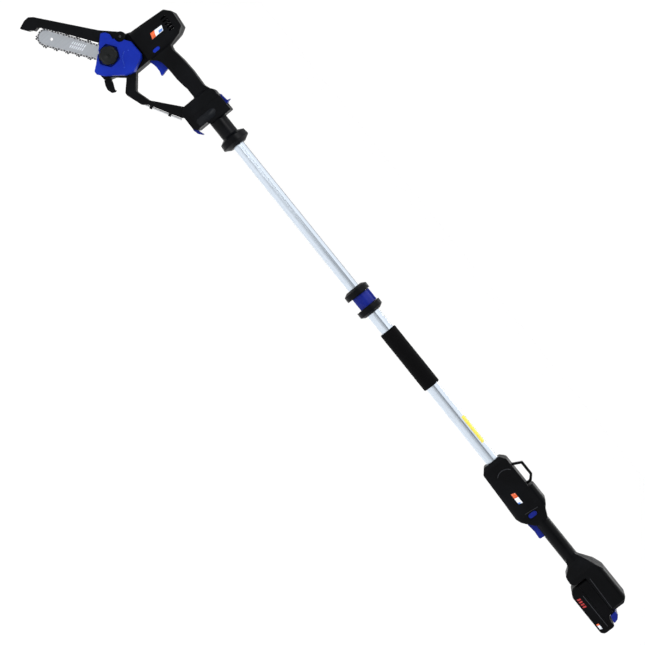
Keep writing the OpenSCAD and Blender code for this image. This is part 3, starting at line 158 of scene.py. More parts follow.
add_surround(
    brightest=2.0,
    bands=[(0.0, 0.55), (0.14, 0.52), (0.24, 0.10), (0.52, 0.12), (0.80, 0.8)],
)
add_area_light(
    "key_light", place=(-1.6, -2.2, 2.4), aim=(-0.2, 0, 0), size=(1.8, 1.2), power=70
)
add_area_light(
    "edge_light", place=(1.0, 1.8, 1.6), aim=(-0.1, 0, 0), size=(2.4, 0.3), power=40
)
floor = add_floor(height=-1.1, width=60)
bpy.context.scene.view_settings.view_transform = "Standard"
print("floor at", floor.location.z)

# %% [markdown]
# Every finish is built from the same few nodes: a pattern in the piece's own space, a ramp that
# turns it into a colour or a roughness, and a bump. The helpers below keep each finish short. A
# pattern in the piece's own space doesn't need an unwrapped mesh, and it travels with the
# piece.

# %% Helpers for finishes
class Finish:
    """A material in the making, with a shader and a way to add patterns to it."""

    def __init__(self, name, colour, roughness, metallic=0.0, specular=0.5):
        self.material = bpy.data.materials.new(name)
        self.material.use_nodes = True
        self.tree = self.material.node_tree
        self.shader = self.tree.nodes["Principled BSDF"]
        self.shader.inputs["Base Color"].default_value = (*colour, 1)
        self.shader.inputs["Roughness"].default_value = roughness
        self.shader.inputs["Metallic"].default_value = metallic
        self.shader.inputs["Specular IOR Level"].default_value = specular
        self.height = None

    def node(self, kind, **inputs):
        made = self.tree.nodes.new(kind)
        for label, value in inputs.items():
            made.inputs[label.replace("_", " ")].default_value = value
        return made

    def link(self, source, target):
        self.tree.links.new(source, target)

    def place(self, stretch=(1, 1, 1), turn=(0, 0, 0)):
        """The piece's own coordinates, turned and then stretched."""
        where = self.node("ShaderNodeTexCoord")
        mapping = self.node("ShaderNodeMapping", Rotation=turn, Scale=stretch)
        self.link(where.outputs["Object"], mapping.inputs["Vector"])
        return mapping.outputs["Vector"]

    def noise(self, scale, detail=3.0, stretch=(1, 1, 1), turn=(0, 0, 0)):
        made = self.node("ShaderNodeTexNoise", Scale=scale, Detail=detail)
        self.link(self.place(stretch, turn), made.inputs["Vector"])
        return made.outputs["Fac"]

    def cells(self, scale):
        made = self.node("ShaderNodeTexVoronoi", Scale=scale)
        self.link(self.place(), made.inputs["Vector"])
        return made.outputs["Distance"]

    def vary(self, label, pattern, low, high, start=0.3, stop=0.7):
        """Drives one of the shader's sockets between two values, or two colours, by a pattern."""
        ramp = self.node("ShaderNodeValToRGB")
        ramp.color_ramp.elements[0].position = start
        ramp.color_ramp.elements[1].position = stop
        for mark, value in zip(ramp.color_ramp.elements, (low, high)):
            shade = (value, value, value) if isinstance(value, (int, float)) else value
            mark.color = (*shade, 1)
        self.link(pattern, ramp.inputs["Fac"])
        self.link(ramp.outputs["Color"], self.shader.inputs[label])

    def bump(self, pattern, depth, strength=1.0):
        """Adds relief on top of any relief that is already there. depth is in metres."""
        made = self.node("ShaderNodeBump", Strength=strength, Distance=depth)
        self.link(pattern, made.inputs["Height"])
        if self.height:
            self.link(self.height, made.inputs["Normal"])
        self.height = made.outputs["Normal"]
        self.link(self.height, self.shader.inputs["Normal"])


# %% [markdown]
# ## Moulded plastics
# The housings are glass-filled nylon, spark-eroded in the mould, so they have a fine grain and
# a dull sheen. Handled parts polish up in patches, so the roughness drifts slowly across each
# moulding. The blue parts come from smoother moulds. Bump is enough for grain this fine: cut
# into the mesh it would need millions of faces.

# %% Plastics
def moulded_plastic(name, colour, worn, roughness, grain, specular):
    """grain is the size of the texture in metres, and worn is the colour where hands rub."""
    wear, drift = dict(scale=14, detail=4), dict(scale=22, detail=5)
    made = Finish(name, colour, roughness, specular=specular)
    made.vary("Base Color", made.noise(**wear), colour, worn, start=0.42, stop=0.74)
    made.vary("Roughness", made.noise(**drift), roughness - 0.07, roughness + 0.1)
    made.bump(made.noise(scale=1 / grain, detail=2), depth=grain * 0.12, strength=0.6)
    made.bump(made.noise(scale=60, detail=2), depth=0.00006, strength=0.5)
    return made.material


housing_black = moulded_plastic(
    "housing_black", (0.0010, 0.0012, 0.0017), (0.0028, 0.0033, 0.0045),
    roughness=0.40, grain=0.0006, specular=0.07,
)
grip_black = moulded_plastic(
    "grip_black", (0.0008, 0.0009, 0.0013), (0.0024, 0.0026, 0.0034),
    roughness=0.46, grain=0.0011, specular=0.06,
)
knob_grey = moulded_plastic(
    "knob_grey", (0.006, 0.007, 0.007), (0.013, 0.014, 0.014),
    roughness=0.45, grain=0.0007, specular=0.12,
)
cover_blue = moulded_plastic(
    "cover_blue", (0.004, 0.018, 0.27), (0.007, 0.028, 0.36),
    roughness=0.38, grain=0.0004, specular=0.09,
)
control_blue = moulded_plastic(
    "control_blue", (0.003, 0.009, 0.15), (0.005, 0.015, 0.21),
    roughness=0.3, grain=0.0004, specular=0.12,
)
plastics = (housing_black, grip_black, knob_grey, cover_blue, control_blue)
print("plastics", [plastic.name for plastic in plastics])

# %% [markdown]
# ## Metals
# The two tubes are drawn and then anodised: faint lines run along them, and they reflect a
# soft, wide highlight. The bar is ground across its length and its laser-cut edge is darker.
# The chain is blackened and oily. A stretched noise gives all of these lines, and only its
# stretch and its direction change.

# %% Metals
BAR_DOWN = math.radians(35)      # how far the bar points below the line of the pole


def drawn_metal(name, colour, dark, roughness, stretch, turn=(0, 0, 0)):
    """stretch draws the pattern out into lines, and turn gives the lines their direction."""
    made = Finish(name, colour, roughness, metallic=1.0)
    lines = made.noise(900, 3, stretch, turn)
    patches = made.noise(40, 4, stretch, turn)
    made.vary("Base Color", lines, dark, colour, start=0.2, stop=0.6)
    made.vary("Roughness", patches, roughness - 0.08, roughness + 0.08)
    made.bump(lines, depth=0.00002, strength=0.5)
    return made.material


tube_satin = drawn_metal(
    "tube_satin", (0.50, 0.555, 0.62), (0.41, 0.46, 0.52), 0.26, stretch=(0.012, 1, 1)
)
bar_satin = drawn_metal(
    "bar_satin", (0.38, 0.40, 0.43), (0.335, 0.355, 0.385), 0.38,
    stretch=(1, 1, 0.03), turn=(0, -BAR_DOWN, 0),
)
plated_steel = drawn_metal(
    "plated_steel", (0.60, 0.61, 0.63), (0.45, 0.46, 0.48), 0.3, stretch=(1, 0.1, 1)
)
oiled_steel = drawn_metal(
    "oiled_steel", (0.10, 0.10, 0.105), (0.03, 0.03, 0.032), 0.34, stretch=(1, 1, 1)
)
black_oxide = drawn_metal(
    "black_oxide", (0.05, 0.05, 0.055), (0.02, 0.02, 0.022), 0.42, stretch=(0.1, 1, 1)
)
sintered_steel = drawn_metal(
    "sintered_steel", (0.26, 0.25, 0.24), (0.15, 0.15, 0.14), 0.55, stretch=(1, 1, 1)
)
contact_brass = drawn_metal(
    "contact_brass", (0.78, 0.58, 0.25), (0.62, 0.44, 0.18), 0.3, stretch=(0.1, 1, 1)
)
winding_copper = drawn_metal(
    "winding_copper", (0.62, 0.28, 0.12), (0.30, 0.11, 0.05), 0.35, stretch=(1, 1, 12)
)
print("bar's grinding lines turned", round(math.degrees(-BAR_DOWN)), "degrees")

# %% [markdown]
# ## Foam, rubber and small finishes
# Closed-cell foam has no shine at all, and its skin is pricked with tiny cells. The cable's
# rubber is made in the same way, with cells half that size. The badges and the sticker are
# blank, with plain fields of colour, and a slow noise fades their ink a little.

# %% Soft and small finishes
def cell_foam(name, colour, cell):
    """cell is the size of the pricks in metres."""
    paler = [2.2 * channel for channel in colour]
    made = Finish(name, colour, roughness=0.96, specular=0.05)
    made.shader.inputs["Sheen Weight"].default_value = 0.02
    made.vary("Base Color", made.noise(scale=1 / cell, detail=3), colour, paler)
    made.bump(made.cells(scale=1 / cell), depth=0.0003, strength=0.8)
    made.bump(made.noise(scale=45, detail=2), depth=0.0004, strength=0.4)
    return made.material


def printed(name, colour, faded, roughness=0.32):
    made = Finish(name, colour, roughness)
    made.vary("Base Color", made.noise(scale=160, detail=3), faded, colour, start=0.35, stop=0.6)
    made.bump(made.noise(scale=900, detail=2), depth=0.00001, strength=0.3)
    return made.material


foam_black = cell_foam("foam_black", (0.0015, 0.0015, 0.0017), cell=0.0014)
cable_rubber = cell_foam("cable_rubber", (0.012, 0.012, 0.013), cell=0.0007)
badge_white = printed("badge_white", (0.80, 0.84, 0.90), (0.70, 0.75, 0.84))
badge_orange = printed("badge_orange", (0.78, 0.12, 0.02), (0.62, 0.09, 0.02))
badge_blue = printed("badge_blue", (0.10, 0.24, 0.62), (0.08, 0.18, 0.5))
badge_red = printed("badge_red", (0.42, 0.006, 0.008), (0.32, 0.005, 0.006))
sticker_yellow = printed(
    "sticker_yellow", (0.72, 0.62, 0.06), (0.62, 0.52, 0.05), roughness=0.5
)
board_green = printed("board_green", (0.02, 0.11, 0.05), (0.015, 0.08, 0.04))
cell_wrap = printed("cell_wrap", (0.04, 0.20, 0.14), (0.03, 0.15, 0.11), roughness=0.3)
print("finishes so far:", len(bpy.data.materials))

# %% [markdown]
# ## Dress the pieces that stay as they are
# Shafts, bearings, gears, screws and tubes already have their true shape, so they only take a
# finish. A table of finish and pieces says more in less space than one line for each.

# %% Finishes for the plain pieces
PLAIN_PIECES = [
    (tube_satin, ["outer_tube", "inner_tube"]),
    (housing_black, ["clamp_ring", "tube_bush", "adapter_plug", "saw_switch", "rear_switch"]),
    (plated_steel, ["lever_pin", "adapter_screws", "saw_screws", "rear_screws"]),
    (plated_steel, ["bar_stud", "hex_key", "spindle", "motor_bearings", "spindle_bearings"]),
    (plated_steel, ["tension_pin", "saw_trigger_spring", "rear_trigger_spring"]),
    (sintered_steel, ["face_gear", "rotor_pinion", "drive_sprocket"]),
    (bar_satin, ["guide_bar"]),
    (black_oxide, ["motor_can", "guard_pin"]),
    (winding_copper, ["rotor"]),
    (contact_brass, ["saw_terminals", "dock_terminals"]),
    (board_green, ["control_board"]),
    (cell_wrap, ["battery_cells"]),
    (sticker_yellow, ["tube_label"]),
    (cable_rubber, ["cable_lead"]),
    (badge_white, ["saw_badge", "rear_badge"]),
]


def dress(node, finish):
    mesh = frame["nodes"][node].data
    mesh.materials.clear()
    mesh.materials.append(finish)


for finish, nodes in PLAIN_PIECES:
    for node in nodes:
        dress(node, finish)
print("plain pieces dressed:", sum(len(nodes) for _, nodes in PLAIN_PIECES))

# %% [markdown]
# ## Rounded mouldings
# No moulded part has a knife edge: the mould's corners are rounded, so that the plastic flows
# and the part is kind to the hand. Those edges are what catch the light on black plastic. A
# bevel on every edge of such a shape trips over its smallest faces. So each moulding is rebuilt
# from small cells instead, which rounds every edge by about one cell, then smoothed, and
# thinned where it is flat.

# %% Helper for rounded mouldings
def bake(piece, *modifiers):
    """Adds modifiers given as (kind, settings) and applies them, in order."""
    for kind, settings in modifiers:
        added = piece.modifiers.new(kind.lower(), kind)
        for label, value in settings.items():
            setattr(added, label, value)
    seen = piece.evaluated_get(bpy.context.evaluated_depsgraph_get())
    finished = bpy.data.meshes.new_from_object(seen)
    piece.modifiers.clear()
    piece.data = finished


def body_of(node):
    return frame["nodes"][node]["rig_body"]


def slot_of(node):
    rows = frame["record"]["subparts"]
    return next(row["material_slot"] for row in rows if row["node"] == node)


def settle(piece, node, finish):
    """Gives a finished piece its material, and puts it in its solid's place."""
    piece.data.materials.clear()
    piece.data.materials.append(finish)
    for face in piece.data.polygons:
        face.use_smooth = True
    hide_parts(node)
    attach(piece, body_of(node))
    return piece


def rounded(node, name, finish, cell, keep=0.3, passes=4):
    """A moulding with soft edges in place of a solid. cell is in millimetres, and keep is the
    share of the faces that stays."""
    piece = bpy.data.objects.new(name, frame["nodes"][node].data.copy())
    bpy.context.scene.collection.objects.link(piece)
    bake(
        piece,
        ("WELD", {"merge_threshold": 1e-6}),
        ("REMESH", {"mode": "VOXEL", "voxel_size": cell * MM}),
        ("SMOOTH", {"factor": 0.5, "iterations": passes}),
        ("DECIMATE", {"ratio": keep}),
        ("WEIGHTED_NORMAL", {"keep_sharp": False}),
    )
    settle(piece, node, finish)
    return piece


# %% [markdown]
# Each row below names a solid, its moulding, its finish and the size of its cells. A big
# housing can take cells of a millimetre. A latch or a button would lose its shape in cells that
# big, so theirs are half the size or less.

# %% Rounded mouldings
MOULDINGS = [
    ("saw_housing_left", "saw_shell_left", housing_black, 1.0),
    ("saw_housing_right", "saw_shell_right", housing_black, 1.0),
    ("rear_housing_left", "rear_shell_left", housing_black, 1.0),
    ("rear_housing_right", "rear_shell_right", housing_black, 1.0),
    ("adapter_left", "adapter_shell_left", housing_black, 0.6),
    ("adapter_right", "adapter_shell_right", housing_black, 0.6),
    ("lock_collar", "lock_body", housing_black, 0.8),
    ("lock_lever", "lock_flip_lever", control_blue, 0.5),
    ("sprocket_cover", "drive_cover", cover_blue, 0.7),
    ("bar_guard", "bar_shield", housing_black, 0.8),
    ("branch_hook", "branch_claw", housing_black, 0.6),
    ("strap_loop", "shoulder_strap_eye", housing_black, 0.6),
    ("battery_case", "pack_lid", grip_black, 0.9),
    ("battery_base", "pack_tub", grip_black, 0.9),
    ("battery_button", "pack_release", control_blue, 0.6),
    ("saw_trigger", "saw_finger_trigger", cover_blue, 0.6),
    ("rear_trigger", "rear_finger_trigger", control_blue, 0.6),
    ("saw_lock_off", "saw_safety_button", cover_blue, 0.5),
    ("rear_lock_off", "rear_safety_button", control_blue, 0.5),
    ("upper_latch", "upper_release", control_blue, 0.35),
    ("lower_latch", "lower_release", control_blue, 0.35),
]
for node, name, finish, cell in MOULDINGS:
    moulding = rounded(node, name, finish, cell)
    print(name, len(moulding.data.polygons), "faces")

# %% [markdown]
# ## Building pieces in code
# The rest of the pieces are made from outlines and rings. Three helpers are enough: one closes
# a set of rings into a skin, one turns an outline into a thin plate with softened edges, and
# one puts the finished mesh into the scene, riding on its body. Lengths are written in
# millimetres, like a drawing.

# %% Helpers for built pieces
HEAD_X = -756.0      # where the saw's own drawing starts along the pole
REAR_X = 308.0       # where the rear handle's drawing starts


def skin_rings(mesh, rings, closed):
    """Joins neighbouring rings with quads. closed also joins the last ring to the first."""
    rows = [[mesh.verts.new(Vector(point) * MM) for point in ring] for ring in rings]
    pairs = list(zip(rows, rows[1:]))
    if closed:
        pairs.append((rows[-1], rows[0]))
    for here, there in pairs:
        for i in range(len(here)):
            j = (i + 1) % len(here)
            mesh.faces.new((here[i], here[j], there[j], there[i]))
    return rows


def add_plate(mesh, outline, near_y, far_y, soften=0.0):
    """A plate from an outline of (x, z) points, between two depths. Its near edge is softened."""
    near = [mesh.verts.new(Vector((x, near_y, z)) * MM) for x, z in outline]
    far = [mesh.verts.new(Vector((x, far_y, z)) * MM) for x, z in outline]
    face = mesh.faces.new(near)
    mesh.faces.new(list(reversed(far)))
    for i in range(len(near)):
        j = (i + 1) % len(near)
        mesh.faces.new((near[j], near[i], far[i], far[j]))
    if soften:
        bmesh.ops.bevel(
            mesh, geom=list(face.edges), offset=soften * MM, segments=2, affect="EDGES"
        )


def piece_from(mesh, name, body, finish, smooth=True):
    """Turns a bmesh into a piece of the model that moves with a body."""
    bmesh.ops.recalc_face_normals(mesh, faces=mesh.faces)
    data = bpy.data.meshes.new(name)
    mesh.to_mesh(data)
    mesh.free()
    data.materials.append(finish)
    for face in data.polygons:
        face.use_smooth = smooth
    piece = bpy.data.objects.new(name, data)
    bpy.context.scene.collection.objects.link(piece)
    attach(piece, body)
    return piece


def box_of(node):
    """A solid's box in millimetres, as two corners."""
    points = [v.co for v in frame["nodes"][node].data.vertices]
    low = [min(p[k] for p in points) / MM for k in range(3)]
    high = [max(p[k] for p in points) / MM for k in range(3)]
    return low, high


# %% [markdown]
# ## Foam grip
# The sleeve is a length of closed-cell foam tube, pushed onto the pole with a little glue. It
# is cut square, so its ends are only slightly rounded, and it is never quite even along its
# length. The skin is a grid of rings moved in and out by a fraction of a millimetre, which a
# perfect cylinder would lack.

# %% Foam sleeve
def foam_sleeve():
    chance = random.Random(7)
    low, high = box_of("foam_grip")
    tube_low, tube_high = box_of("outer_tube")
    left, right = low[0], high[0]
    outer = (high[2] - low[2]) / 2
    bore = (tube_high[2] - tube_low[2]) / 2
    skin = outer - 0.15      # leaves room for the unevenness
    end, steps, around = 4, 110, 96
    profile = [(left + 0.2, bore), (left, outer - 2.2), (left + 0.6, outer - 0.9), (left + 2, skin)]
    for i in range(steps + 1):
        profile.append((left + end + (right - left - 2 * end) * i / steps, skin))
    profile += [(right - 2, skin), (right - 0.6, outer - 0.9), (right, outer - 2.2)]
    profile.append((right - 0.2, bore))
    waves = []
    for _ in range(6):
        waves.append((chance.uniform(0.02, 0.12), chance.randint(1, 5), chance.uniform(0, 6)))
    rings = []
    for x, radius in profile:
        ring = []
        for k in range(around):
            angle = 2 * math.pi * k / around
            drift = sum(math.sin(f * x + n * angle + p) for f, n, p in waves) / len(waves)
            uneven = 0.0
            if radius >= outer - 1:
                uneven = 0.16 * drift + chance.uniform(-0.05, 0.05) - 0.1
            r = radius + uneven
            ring.append((x, r * math.cos(angle), r * math.sin(angle)))
        rings.append(ring)
    mesh = bmesh.new()
    skin_rings(mesh, rings, closed=True)
    piece = piece_from(mesh, "foam_sleeve", body_of("foam_grip"), foam_black)
    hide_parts("foam_grip")
    return piece


foam = foam_sleeve()
print("foam sleeve", len(foam.data.polygons), "faces")

# %% [markdown]
# ## Coiled cable
# The wires from the battery to the motor run inside the pole, which changes length. So the
# cable is wound like a telephone cord. A round section swept along a helix is exactly how it is
# made: the cable is wound on a rod and heated until it sets.

# %% Coiled cable
WIRE_R = 2.0
WIRE_PITCH = 4.4      # a little over one wire, so that neighbouring turns don't touch


def coil_of_cable():
    low, high = box_of("coiled_cable")
    coil = (high[2] - low[2]) / 2 - WIRE_R
    start, span = low[0] + WIRE_R, high[0] - low[0] - 2 * WIRE_R
    turns = math.floor(span / WIRE_PITCH)
    per_turn, around = 28, 10
    rings = []
    for step in range(turns * per_turn + 1):
        angle = 2 * math.pi * step / per_turn
        out = Vector((0, math.cos(angle), math.sin(angle)))
        centre = Vector((start + span * step / (turns * per_turn), 0, 0)) + out * coil
        ring = []
        for k in range(around):
            turn = 2 * math.pi * k / around
            along = Vector((WIRE_R * math.sin(turn), 0, 0))
            ring.append(centre + out * WIRE_R * math.cos(turn) + along)
        rings.append(ring)
    mesh = bmesh.new()
    rows = skin_rings(mesh, rings, closed=False)
    mesh.faces.new(rows[0])
    mesh.faces.new(rows[-1])
    piece = piece_from(
        mesh, "wound_cable", body_of("coiled_cable"), cable_rubber
    )
    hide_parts("coiled_cable")
    return piece


cable = coil_of_cable()
print("cable", len(cable.data.polygons), "faces")

# %% [markdown]
# ## Saw chain
# A saw chain is three links wide. The middle links have a tang that runs in the bar's groove
# and is driven by the sprocket. The outer links are plain straps, and every second pair has a
# cutter on one side, left and right in turn. Rivets hold them. The links sit on one path: round
# the sprocket, along the bar, round its nose and back. So one chain is a walk along that path,
# one rivet after another.

# %% The chain's path
TO_NOSE = Vector((-math.cos(BAR_DOWN), 0, -math.sin(BAR_DOWN)))
TO_TOP = Vector((-math.sin(BAR_DOWN), 0, math.cos(BAR_DOWN)))
DRIVE_R = 14.8      # of the path round the sprocket
NOSE_R = 18.8       # of the path round the bar's nose
RUN = 194.0         # from the sprocket's centre to the nose's
LEAN = math.asin((NOSE_R - DRIVE_R) / RUN)
STRAIGHT = math.sqrt(RUN**2 - (NOSE_R - DRIVE_R) ** 2)


def chain_point(distance):
    """A point of the chain's path, from the sprocket: how far to the nose, and how far up."""
    over_nose = NOSE_R * (math.pi + 2 * LEAN)
    if distance < STRAIGHT:
        along = Vector((math.cos(LEAN), math.sin(LEAN)))
        return Vector((-math.sin(LEAN), math.cos(LEAN))) * DRIVE_R + along * distance
    distance -= STRAIGHT
    if distance < over_nose:
        angle = math.pi / 2 + LEAN - distance / NOSE_R
        return Vector((RUN + NOSE_R * math.cos(angle), NOSE_R * math.sin(angle)))
    distance -= over_nose
    if distance < STRAIGHT:
        start = Vector((RUN - NOSE_R * math.sin(LEAN), -NOSE_R * math.cos(LEAN)))
        return start + Vector((-math.cos(LEAN), math.sin(LEAN))) * distance
    distance -= STRAIGHT
    angle = -math.pi / 2 - LEAN - distance / DRIVE_R
    return Vector((DRIVE_R * math.cos(angle), DRIVE_R * math.sin(angle)))


CHAIN_LENGTH = 2 * STRAIGHT + NOSE_R * (math.pi + 2 * LEAN) + DRIVE_R * (math.pi - 2 * LEAN)
RIVETS = 72
RIVET_STEP = CHAIN_LENGTH / RIVETS
print("chain", round(CHAIN_LENGTH), "mm,", RIVETS, "rivets", round(RIVET_STEP, 2), "mm apart")

# %% [markdown]
# Links are stamped from sheet steel, so each is an outline with a thickness: a plain strap, a
# strap with a cutter and its depth gauge, and a middle link with its tang. Each outline is laid
# along the line between two neighbouring rivets, which keeps every link rigid where the path
# bends. The chain is one mesh and its rivets another, because their steels differ.

# %% Links, cutters and rivets
STRAP = [
    (-4.9, 0), (-4.3, 1.6), (-2.8, 2.0), (2.8, 2.0), (4.3, 1.6), (4.9, 0),
    (4.3, -1.6), (2.8, -2.0), (0, -1.5), (-2.8, -2.0), (-4.3, -1.6),
]
TANG = [
    (-4.6, 0), (-4.0, 1.6), (-1.5, 1.9), (1.5, 1.9), (4.0, 1.6), (4.6, 0),
    (3.9, -1.7), (1.6, -2.4), (0.6, -3.6), (-1.0, -3.4), (-3.9, -1.7),
]
CUTTER = [
    (-4.9, -0.4), (-4.9, 2.6), (-4.3, 4.6), (-2.9, 5.4), (-2.0, 3.0), (-0.6, 2.2),
    (0.6, 3.2), (0.3, 5.0), (1.6, 5.7), (4.6, 5.1), (4.9, 3.2), (4.9, 0),
    (4.3, -1.6), (2.8, -2.0), (0, -1.5), (-2.8, -2.0), (-4.3, -1.6),
]
RIVET_R = 1.5
RIVET_HEAD = [
    (RIVET_R * math.cos(a * math.pi / 6), RIVET_R * math.sin(a * math.pi / 6)) for a in range(12)
]
# Where each link lies across the bar, as its two depths from the bar's middle
MIDDLE, NEAR_SIDE, FAR_SIDE, RIGHT_ACROSS = (-0.65, 0.65), (-2.1, -0.75), (0.75, 2.1), (-2.7, 2.7)


def build_chain():
    bar_low, bar_high = box_of("guide_bar")
    middle_y = (bar_low[1] + bar_high[1]) / 2
    sprocket = spindle / MM
    links, rivets = bmesh.new(), bmesh.new()

    def lay(mesh, outline, start, end, depths, soften):
        """Lays an outline along the chord between two places on the path."""
        a, b = chain_point(start % CHAIN_LENGTH), chain_point(end % CHAIN_LENGTH)
        along = (b - a).normalized()
        outward = Vector((-along.y, along.x))
        centre = (a + b) / 2
        placed = []
        for x, z in outline:
            flat = centre + along * x + outward * z
            place = sprocket + TO_NOSE * flat.x + TO_TOP * flat.y
            placed.append((place.x, place.z))
        add_plate(mesh, placed, middle_y + depths[0], middle_y + depths[1], soften)

    hair = 0.01      # a rivet's chord only has to give its direction
    for i in range(RIVETS):
        start, end = i * RIVET_STEP, (i + 1) * RIVET_STEP
        if i % 2 == 0:
            lay(links, TANG, start, end, MIDDLE, soften=0.0)
        else:
            near = CUTTER if i % 8 == 1 else STRAP
            far = CUTTER if i % 8 == 5 else STRAP
            lay(links, near, start, end, NEAR_SIDE, soften=0.2)
            lay(links, far, start, end, FAR_SIDE, soften=0.2)
        lay(rivets, RIVET_HEAD, start - hair, start + hair, RIGHT_ACROSS, soften=0.35)
    body, slot = body_of("saw_chain"), slot_of("saw_chain")
    chain = piece_from(links, "chain_links", body, oiled_steel, smooth=False)
    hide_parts("saw_chain")
    return chain, piece_from(rivets, "chain_rivets", body, plated_steel, smooth=False)


chain, chain_rivets = build_chain()
print("chain faces", len(chain.data.polygons), "rivet faces", len(chain_rivets.data.polygons))

# %% [markdown]
# ## Clamp knob
# One big knob holds the cover and the bar, and also sets how firmly the bar is held. It sits in
# a hexagonal well. Six shallow flutes give fingers something to push on, and its face is
# dished. Rings of points, with the flutes worked into their radius, describe both at once.

# %% Clamp knob
STUD_X, STUD_Z = stud.x / MM, stud.z / MM


def fluted_knob():
    low, high = box_of("clamp_knob")
    radius = (high[0] - low[0]) / 2
    face, root = low[1], high[1]
    flutes, flute_depth, around = 6, 1.6, 144
    # Share of the radius, and depth: from the dished face, over the rim, to the root
    profile = [
        (0.01, face + 3.2), (0.34, face + 3.0), (0.42, face + 2.2), (0.46, face + 1.7),
        (0.72, face + 1.5), (0.77, face + 1.2), (0.80, face + 0.35), (0.84, face),
        (0.90, face + 0.15), (0.95, face + 0.9), (0.985, face + 2.0), (1.0, face + 3.2),
        (1.0, root - 2.5), (0.985, root - 0.6), (0.95, root), (0.25, root),
    ]
    rings = []
    for share, y in profile:
        ring = []
        for k in range(around):
            angle = 2 * math.pi * k / around
            flute = 0.0
            if share > 0.8:
                flute = max(0.0, math.cos(flutes * (angle - math.pi / flutes))) ** 3
            r = radius * share - flute_depth * flute
            ring.append((STUD_X + r * math.cos(angle), y, STUD_Z + r * math.sin(angle)))
        rings.append(ring)
    mesh = bmesh.new()
    skin_rings(mesh, rings, closed=True)
    piece = piece_from(mesh, "fluted_knob", body_of("clamp_knob"), knob_grey)
    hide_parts("clamp_knob")
    return piece


knob = fluted_knob()
print("knob", len(knob.data.polygons), "faces")

# %% [markdown]
# ## Raised marks
# Raised marks on a moulding are cut into the mould, so they stand a little proud of the skin.
# Each is a thin plate with a soft near edge, made from an outline in side view. Three outlines
# are enough: an arc, a dot and a straight rib. A ray shot at a solid's near side tells how far
# out its skin is.

# %% Helpers for marks
def arc_band(centre, radius, width, from_deg, to_deg, steps=28):
    """The outline of a curved rib in side view."""
    sweep = to_deg - from_deg
    angles = [math.radians(from_deg + sweep * i / steps) for i in range(steps + 1)]

    def arc(r):
        return [(centre[0] + r * math.cos(a), centre[1] + r * math.sin(a)) for a in angles]

    return arc(radius + width / 2) + arc(radius - width / 2)[::-1]


def dot(centre, radius, steps=20):
    angles = [2 * math.pi * k / steps for k in range(steps)]
    return [(centre[0] + radius * math.cos(a), centre[1] + radius * math.sin(a)) for a in angles]


def band(x0, z0, x1, z1, width):
    """The outline of a straight rib with pointed ends."""
    along = Vector((x1 - x0, z1 - z0)).normalized()
    side = Vector((-along.y, along.x)) * width / 2
    a, b, tip = Vector((x0, z0)), Vector((x1, z1)), along * width / 2
    return [tuple(p) for p in (a - tip, a - side, b - side, b + tip, b + side, a + side)]


def marks(name, outlines, shift_x, skin_y, height, node, finish):
    """Low relief on the near side: outlines in a drawing's own x and z, proud of skin_y."""
    sunk, softest = 0.6, 0.2
    mesh = bmesh.new()
    for outline in outlines:
        moved = [(x + shift_x, z) for x, z in outline]
        add_plate(mesh, moved, skin_y - height, skin_y + sunk, min(softest, height / 2))
    return piece_from(mesh, name, body_of(node), finish)


def near_skin(node, x, z):
    """How far out a solid's near side is, at a place given in the pole's own millimetres."""
    solid = frame["nodes"][node].data
    corners = [v.co for v in solid.vertices]
    tree = BVHTree.FromPolygons(corners, [f.vertices for f in solid.polygons])
    in_front, inward = Vector((x, -200, z)) * MM, Vector((0, 1, 0))
    return tree.ray_cast(in_front, inward)[0].y / MM


print("the rear box's near skin is at", round(near_skin("rear_housing_left", REAR_X + 60, 10), 2))

# %% [markdown]
# The cover has a raised arc between two dots: the scale that a user turns the tension against.
# The rear box has an arc and a rib, the dock and the battery have one long rib each, and the
# adapter has a flat panel. All are less than a millimetre high, but they catch the light.
# The arcs, dots and ribs are paler copies of the skin's finish: painted highlights along the raised
# marks. The adapter's panel has a finish of its own.

# %% Raised marks
# Paler copies of the blue and of the black plastic: painted highlights for the raised marks
painted_highlight_blue = moulded_plastic(
    "painted_highlight_blue", (0.010, 0.045, 0.42), (0.02, 0.07, 0.5),
    roughness=0.3, grain=0.0004, specular=0.3,
)
panel_black = moulded_plastic(
    "panel_black", (0.004, 0.005, 0.007), (0.008, 0.010, 0.013),
    roughness=0.5, grain=0.0006, specular=0.12,
)
painted_highlight_black = moulded_plastic(
    "painted_highlight_black", (0.016, 0.018, 0.022), (0.03, 0.033, 0.038),
    roughness=0.4, grain=0.0006, specular=0.25,
)
cover_near = box_of("sprocket_cover")[0][1]
pack_near = box_of("battery_base")[0][1]
box_near = near_skin("rear_housing_left", REAR_X + 60, 10)
dock_near = near_skin("rear_housing_left", REAR_X + 390, 8)
adapter_near = near_skin("adapter_left", -736, -12)
SCALE = [
    arc_band((STUD_X + 44, STUD_Z + 44), 29, 1.3, 196, 264),
    dot((STUD_X + 20, STUD_Z + 43), 1.5),
    dot((STUD_X + 45, STUD_Z + 11), 1.5),
]
BOX_RIBS = [arc_band((54, 4), 24, 1.8, 125, 225), band(143, -16, 147, 18, 1.3)]
DOCK_RIB = [band(352, 9, 436, 6, 1.4)]
PACK_RIB = [band(374, -29, 464, -28.5, 1.4)]
PANEL = [[
    (-745, -36), (-741, -40), (-728, -40), (-725, -36),
    (-725, 2), (-733, 12), (-740, 12), (-745, 4),
]]
# name, outlines, shift along the pole, the skin's depth, height, the solid that carries it, finish
RAISED = [
    ("tension_scale", SCALE, 0, cover_near, 0.7, "sprocket_cover", painted_highlight_blue),
    ("rear_ribs", BOX_RIBS, REAR_X, box_near, 0.8, "rear_housing_left", painted_highlight_black),
    ("dock_rib", DOCK_RIB, REAR_X, dock_near, 0.8, "rear_housing_left", painted_highlight_black),
    ("pack_rib", PACK_RIB, REAR_X, pack_near, 0.8, "battery_base", painted_highlight_black),
    ("adapter_panel", PANEL, 0, adapter_near, 0.6, "adapter_left", panel_black),
]
for row in RAISED:
    marks(*row)
print("raised marks", len(RAISED))
